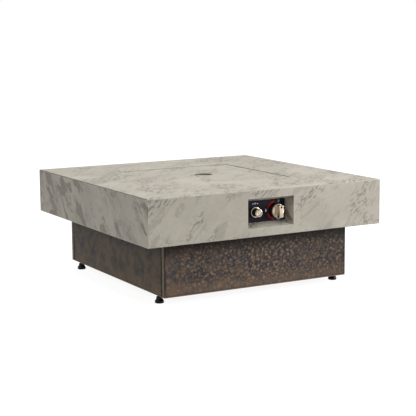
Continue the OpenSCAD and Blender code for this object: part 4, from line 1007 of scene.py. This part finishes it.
valve_low, valve_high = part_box("gas_valve")
inlet_low, inlet_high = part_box("inlet_fitting")
inlet_x, inlet_z = (inlet_low.x + inlet_high.x) / 2, (inlet_low.z + inlet_high.z) / 2
SUPPLY_ROUTE = route(
    Vector((valve_high.x, valve_low.y + SUPPLY_PORT, knob_z)), (STRAIGHT, 0, 0), SUPPLY_BOW,
    [(0.56, 0.010, 0.023), (0.88, 0.042, 0.087), (1, 0.096, 0.206), (1, 0.137, 0.404), (1, 0.161, 0.656),
     (0.91, 0.199, 0.867), (0.75, 0.264, 1.010), (0.40, 0.399, 1.110), (0.08, 0.588, 1.130),
     (-0.04, 0.777, 1.080)],
    (0, -3 * STRAIGHT, 0), Vector((inlet_x, inlet_low.y, inlet_z)))
FEED_ROUTE = route(
    Vector((valve_high.x, valve_low.y + FEED_PORT, knob_z)), (STRAIGHT, 0, 0), FEED_BOW,
    [(0.70, 0.044, 0.056), (0.97, 0.137, 0.243), (1, 0.294, 0.542), (0.75, 0.499, 0.822),
     (0.25, 0.720, 0.972)],
    (0, -2 * STRAIGHT, 0), Vector((0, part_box("burner_injector")[0].y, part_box("feed_hose")[0].z + HOSE_R)))
SENSOR_ROUTE = route(
    foot_of("thermocouple"), (0, 0, -4 * LEAD_R), LEAD_BOW,
    [(0.2, 0.118, -0.82), (0.2, 0.420, -0.67), (-0.2, 0.752, 0.16)],
    (0, 6 * LEAD_R, 0), Vector((knob_x, valve_high.y, knob_z)))
SPARK_ROUTE = route(
    foot_of("spark_electrode"), (0, 0, -4 * LEAD_R), LEAD_BOW,
    [(-0.2, 0.138, -0.78), (-0.8, 0.407, -0.56), (-1, 0.729, 0.24)],
    (0, 6 * LEAD_R, 0), Vector((igniter_x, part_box("igniter_body")[1].y, igniter_z)))
print("routes of", [len(r) for r in (SUPPLY_ROUTE, FEED_ROUTE, SENSOR_ROUTE, SPARK_ROUTE)], "points")

# %% [markdown]
# The curve passes through every point that it is given. The braided hose also gets winding coordinates:
# turns round the hose, and length along it.


# %% Tube helpers
def smooth_route(points, steps):
    """The points of a smooth curve that is straight between the first two and the last two points."""
    line = [points[0]]
    for a, b, c, d in zip(points, points[1:], points[2:], points[3:]):
        for s in range(steps):
            t = s / steps
            line.append(0.5 * (2 * b + (c - a) * t + (2 * a - 5 * b + 4 * c - d) * t ** 2
                               + (3 * b - a - 3 * c + d) * t ** 3))
    return line + points[-2:]


def sweep(builder, line, radius, sides, winding=None):
    """A round tube along a line; radius is a number, or a function of the length so far."""
    rings, lengths, so_far, side = [], [], 0.0, None
    layer = builder.loops.layers.uv.verify() if winding else None
    for i, spot in enumerate(line):
        along = (line[min(i + 1, len(line) - 1)] - line[max(i - 1, 0)]).normalized()
        if side is None:
            side = Vector((0, 0, 1)) if abs(along.z) < 0.9 else Vector((1, 0, 0))
        side = (side - side.dot(along) * along).normalized()
        across = along.cross(side)
        so_far += (spot - line[i - 1]).length if i else 0.0
        r = radius(so_far) if callable(radius) else radius
        lengths.append(so_far)
        rings.append([builder.verts.new(spot + r * (math.cos(a) * side + math.sin(a) * across))
                      for a in (2 * math.pi * k / sides for k in range(sides))])
    for i, (low, high) in enumerate(zip(rings, rings[1:])):
        for k in range(sides):
            j = (k + 1) % sides
            face = builder.faces.new((low[k], low[j], high[j], high[k]))
            if winding:
                corners = ((k, i), (k + 1, i), (k + 1, i + 1), (k, i + 1))
                for loop, (turn, step) in zip(face.loops, corners):
                    loop[layer].uv = (winding[0] * 2 * math.pi * turn / sides, winding[1] * lengths[step])
    builder.faces.new(rings[0])
    builder.faces.new(rings[-1])
    return so_far


print("tubes are swept along smooth routes")

# %% [markdown]
# A sleeve with pressed grooves holds each end of the two hoses on its fitting.


# %% Hoses, leads and their sleeves
def hose(name, node, points, radius, sides, finish, winding=None):
    builder = bmesh.new()
    length = sweep(builder, smooth_route(points, 8), radius, sides, winding)
    made = finished_piece(builder, name, "table", finish)
    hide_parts(node)
    print(name, round(length * 1000), "mm long")


def sleeve(name, start, end, profile, sides, finish):
    """A turned sleeve on a hose's straight end; its profile is (radius, share of the way to the end)."""
    turn = (end - start).to_track_quat("Z", "Y").to_matrix().to_4x4()
    reach_l = (end - start).length
    builder = bmesh.new()
    lathe(builder, [(0, 0)] + [(r, s * reach_l) for r, s in profile] + [(0, reach_l)], sides,
          Matrix.Translation(start) @ turn)
    finished_piece(builder, name, "table", finish)


hose("supply_hose_rubber", "supply_hose", SUPPLY_ROUTE, HOSE_R, 24, rubber)
hose("feed_hose_braided", "feed_hose", FEED_ROUTE, HOSE_R, 24, braid, (8, 1400))
hose("sensor_lead", "thermocouple_lead", SENSOR_ROUTE, LEAD_R, 12, copper)
hose("spark_lead", "ignition_lead", SPARK_ROUTE, LEAD_R, 12, rubber)
CRIMP = [(0.0072, 0.0), (0.0078, 0.05), (0.0078, 0.30), (0.0071, 0.36), (0.0071, 0.44), (0.0078, 0.50),
         (0.0078, 0.66), (0.0071, 0.72), (0.0071, 0.80), (0.0078, 0.86), (0.0076, 0.97), (0.0064, 1.0)]
for name, points in (("supply", SUPPLY_ROUTE), ("feed", FEED_ROUTE)):
    sleeve(name + "_crimp_valve", points[0], points[1], CRIMP, 32, zinc)
    sleeve(name + "_crimp_far", points[-1], points[-2], CRIMP, 32, zinc)

# %% [markdown]
# ## Coil springs
#
# One spring inside the valve pushes the knob back out, and another does the same behind the igniter's
# cap. Each is a wire swept along a helix whose first and last turns lie close, as on a real compression
# spring. A rigid piece can't follow a spring that is pressed; here each spring gets a mesh of its own
# and rides on its body.

# %% Wire springs
WIRE_R, CLOSE_PITCH, COIL_STEPS = 0.0005, 0.00104, 32


def coil_spring(name, node, body, turns):
    """A wire spring in place of the CAD's, with a mesh of its own."""
    low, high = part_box(node)
    middle, radius = (low + high) / 2, (high.z - low.z) / 2 - WIRE_R
    span = high.y - low.y - 2 * WIRE_R
    open_pitch = (span - 2 * CLOSE_PITCH) / (turns - 2)
    line = []
    for i in range(turns * COIL_STEPS + 1):
        turn = i / COIL_STEPS
        closed = min(turn, 1) + max(turn - turns + 1, 0)
        rise = CLOSE_PITCH * closed + open_pitch * min(max(turn - 1, 0), turns - 2)
        around = Vector((math.cos(2 * math.pi * turn), 0, math.sin(2 * math.pi * turn)))
        line.append(Vector((middle.x, low.y + WIRE_R + rise, middle.z)) + radius * around)
    builder = bmesh.new()
    length = sweep(builder, line, WIRE_R, 10)
    spring = finished_piece(builder, name, body, zinc, 60)
    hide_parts(node)
    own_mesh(spring)
    print(name, "of", turns, "turns,", round(length * 1000), "mm of wire")


coil_spring("valve_spring_coil", "valve_spring", "valve_plug", 5)
coil_spring("igniter_spring_coil", "igniter_spring", "table", 7)

# %% [markdown]
# ## Threads
#
# The studs of the feet and the gas inlet are plain cylinders in the CAD. Their threads are small, so
# they belong here: a ridge with a three-cornered section winds up the cylinder. The ridge sinks away at
# both ends, as a cut thread runs out, and it rides on the same body as its stud.

# %% Thread ridges
PER_TURN, RUN_OUT, SUNK = 24, 12, 0.0001
STUD_R, STUD_PITCH = 0.00355, 0.00125
INLET_R, INLET_PITCH, INLET_THREAD = 0.00775, 0.0014, 0.0125


def thread_ridge(name, body, place, radius, pitch, length, finish):
    builder = bmesh.new()
    sections = []
    count = int(length / pitch * PER_TURN)
    for i in range(count + 1):
        angle, height = 2 * math.pi * i / PER_TURN, pitch * i / PER_TURN
        fade = min(1.0, i / RUN_OUT, (count - i) / RUN_OUT)
        deep, half = pitch * 0.45 * fade, pitch * 0.42
        outward = Vector((math.cos(angle), math.sin(angle), 0))
        ridge = (radius - SUNK, -half), (radius + deep, 0.0), (radius - SUNK, half)
        spots = [place @ (outward * r + Vector((0, 0, height + up))) for r, up in ridge]
        sections.append([builder.verts.new(spot) for spot in spots])
    for low, high in zip(sections, sections[1:]):
        for k in range(3):
            j = (k + 1) % 3
            builder.faces.new((low[k], low[j], high[j], high[k]))
    builder.faces.new(sections[0])
    builder.faces.new(sections[-1])
    finished_piece(builder, name, body, finish, 25)


for corner in ("front_left", "front_right", "back_left", "back_right"):
    low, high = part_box("foot_stud_" + corner)
    neck_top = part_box("foot_pad_" + corner)[1].z
    stud = Matrix.Translation(((low.x + high.x) / 2, (low.y + high.y) / 2, neck_top + 0.0012))
    thread_ridge("foot_thread_" + corner, "foot_" + corner, stud, STUD_R, STUD_PITCH,
                 high.z - neck_top - 0.003, zinc)
inlet_turn = Matrix.Rotation(math.radians(-90), 4, "X")
inlet_end = Matrix.Translation((inlet_x, inlet_high.y - INLET_THREAD - 0.001, inlet_z)) @ inlet_turn
thread_ridge("inlet_thread", "table", inlet_end, INLET_R, INLET_PITCH, INLET_THREAD, brass)
print("threads on four studs and the inlet")

# %% [markdown]
# ## Weld beads
#
# The frame under the deck is welded where each corner post meets its rails. A weld bead is a row of
# frozen ripples, which a short tube with a rippled radius gives at once.

# %% Beads at the corner posts
POST_LEG, BEAD_R, BEAD_RIPPLE, BEAD_STEPS = 0.032, 0.0022, 0.0016, 40
BEAD_IN, BEAD_END = 0.0034, 0.004


def bead_radius(length):
    return BEAD_R * (0.82 + 0.18 * math.cos(length / BEAD_RIPPLE * math.pi))


posts_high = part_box("corner_posts")[1]
beads, near, far = 0, BEAD_END, POST_LEG - BEAD_END
for sx, across in ((-1, "left"), (1, "right")):
    for sy, along in ((-1, "front"), (1, "back")):
        corner = Vector((sx * posts_high.x, sy * posts_high.y, posts_high.z - 0.0006))
        runs = ((near, BEAD_IN), (far, BEAD_IN)), ((BEAD_IN, near), (BEAD_IN, far))
        for run, ends in enumerate(runs):
            start, end = (Vector((-sx * x, -sy * y, 0)) for x, y in ends)
            line = [corner + start.lerp(end, i / BEAD_STEPS) for i in range(BEAD_STEPS + 1)]
            builder = bmesh.new()
            sweep(builder, line, bead_radius, 10)
            name = "weld_" + across + "_" + along + "_" + str(run + 1)
            finished_piece(builder, name, "table", frame_paint, 60)
            beads += 1
print(beads, "weld beads")
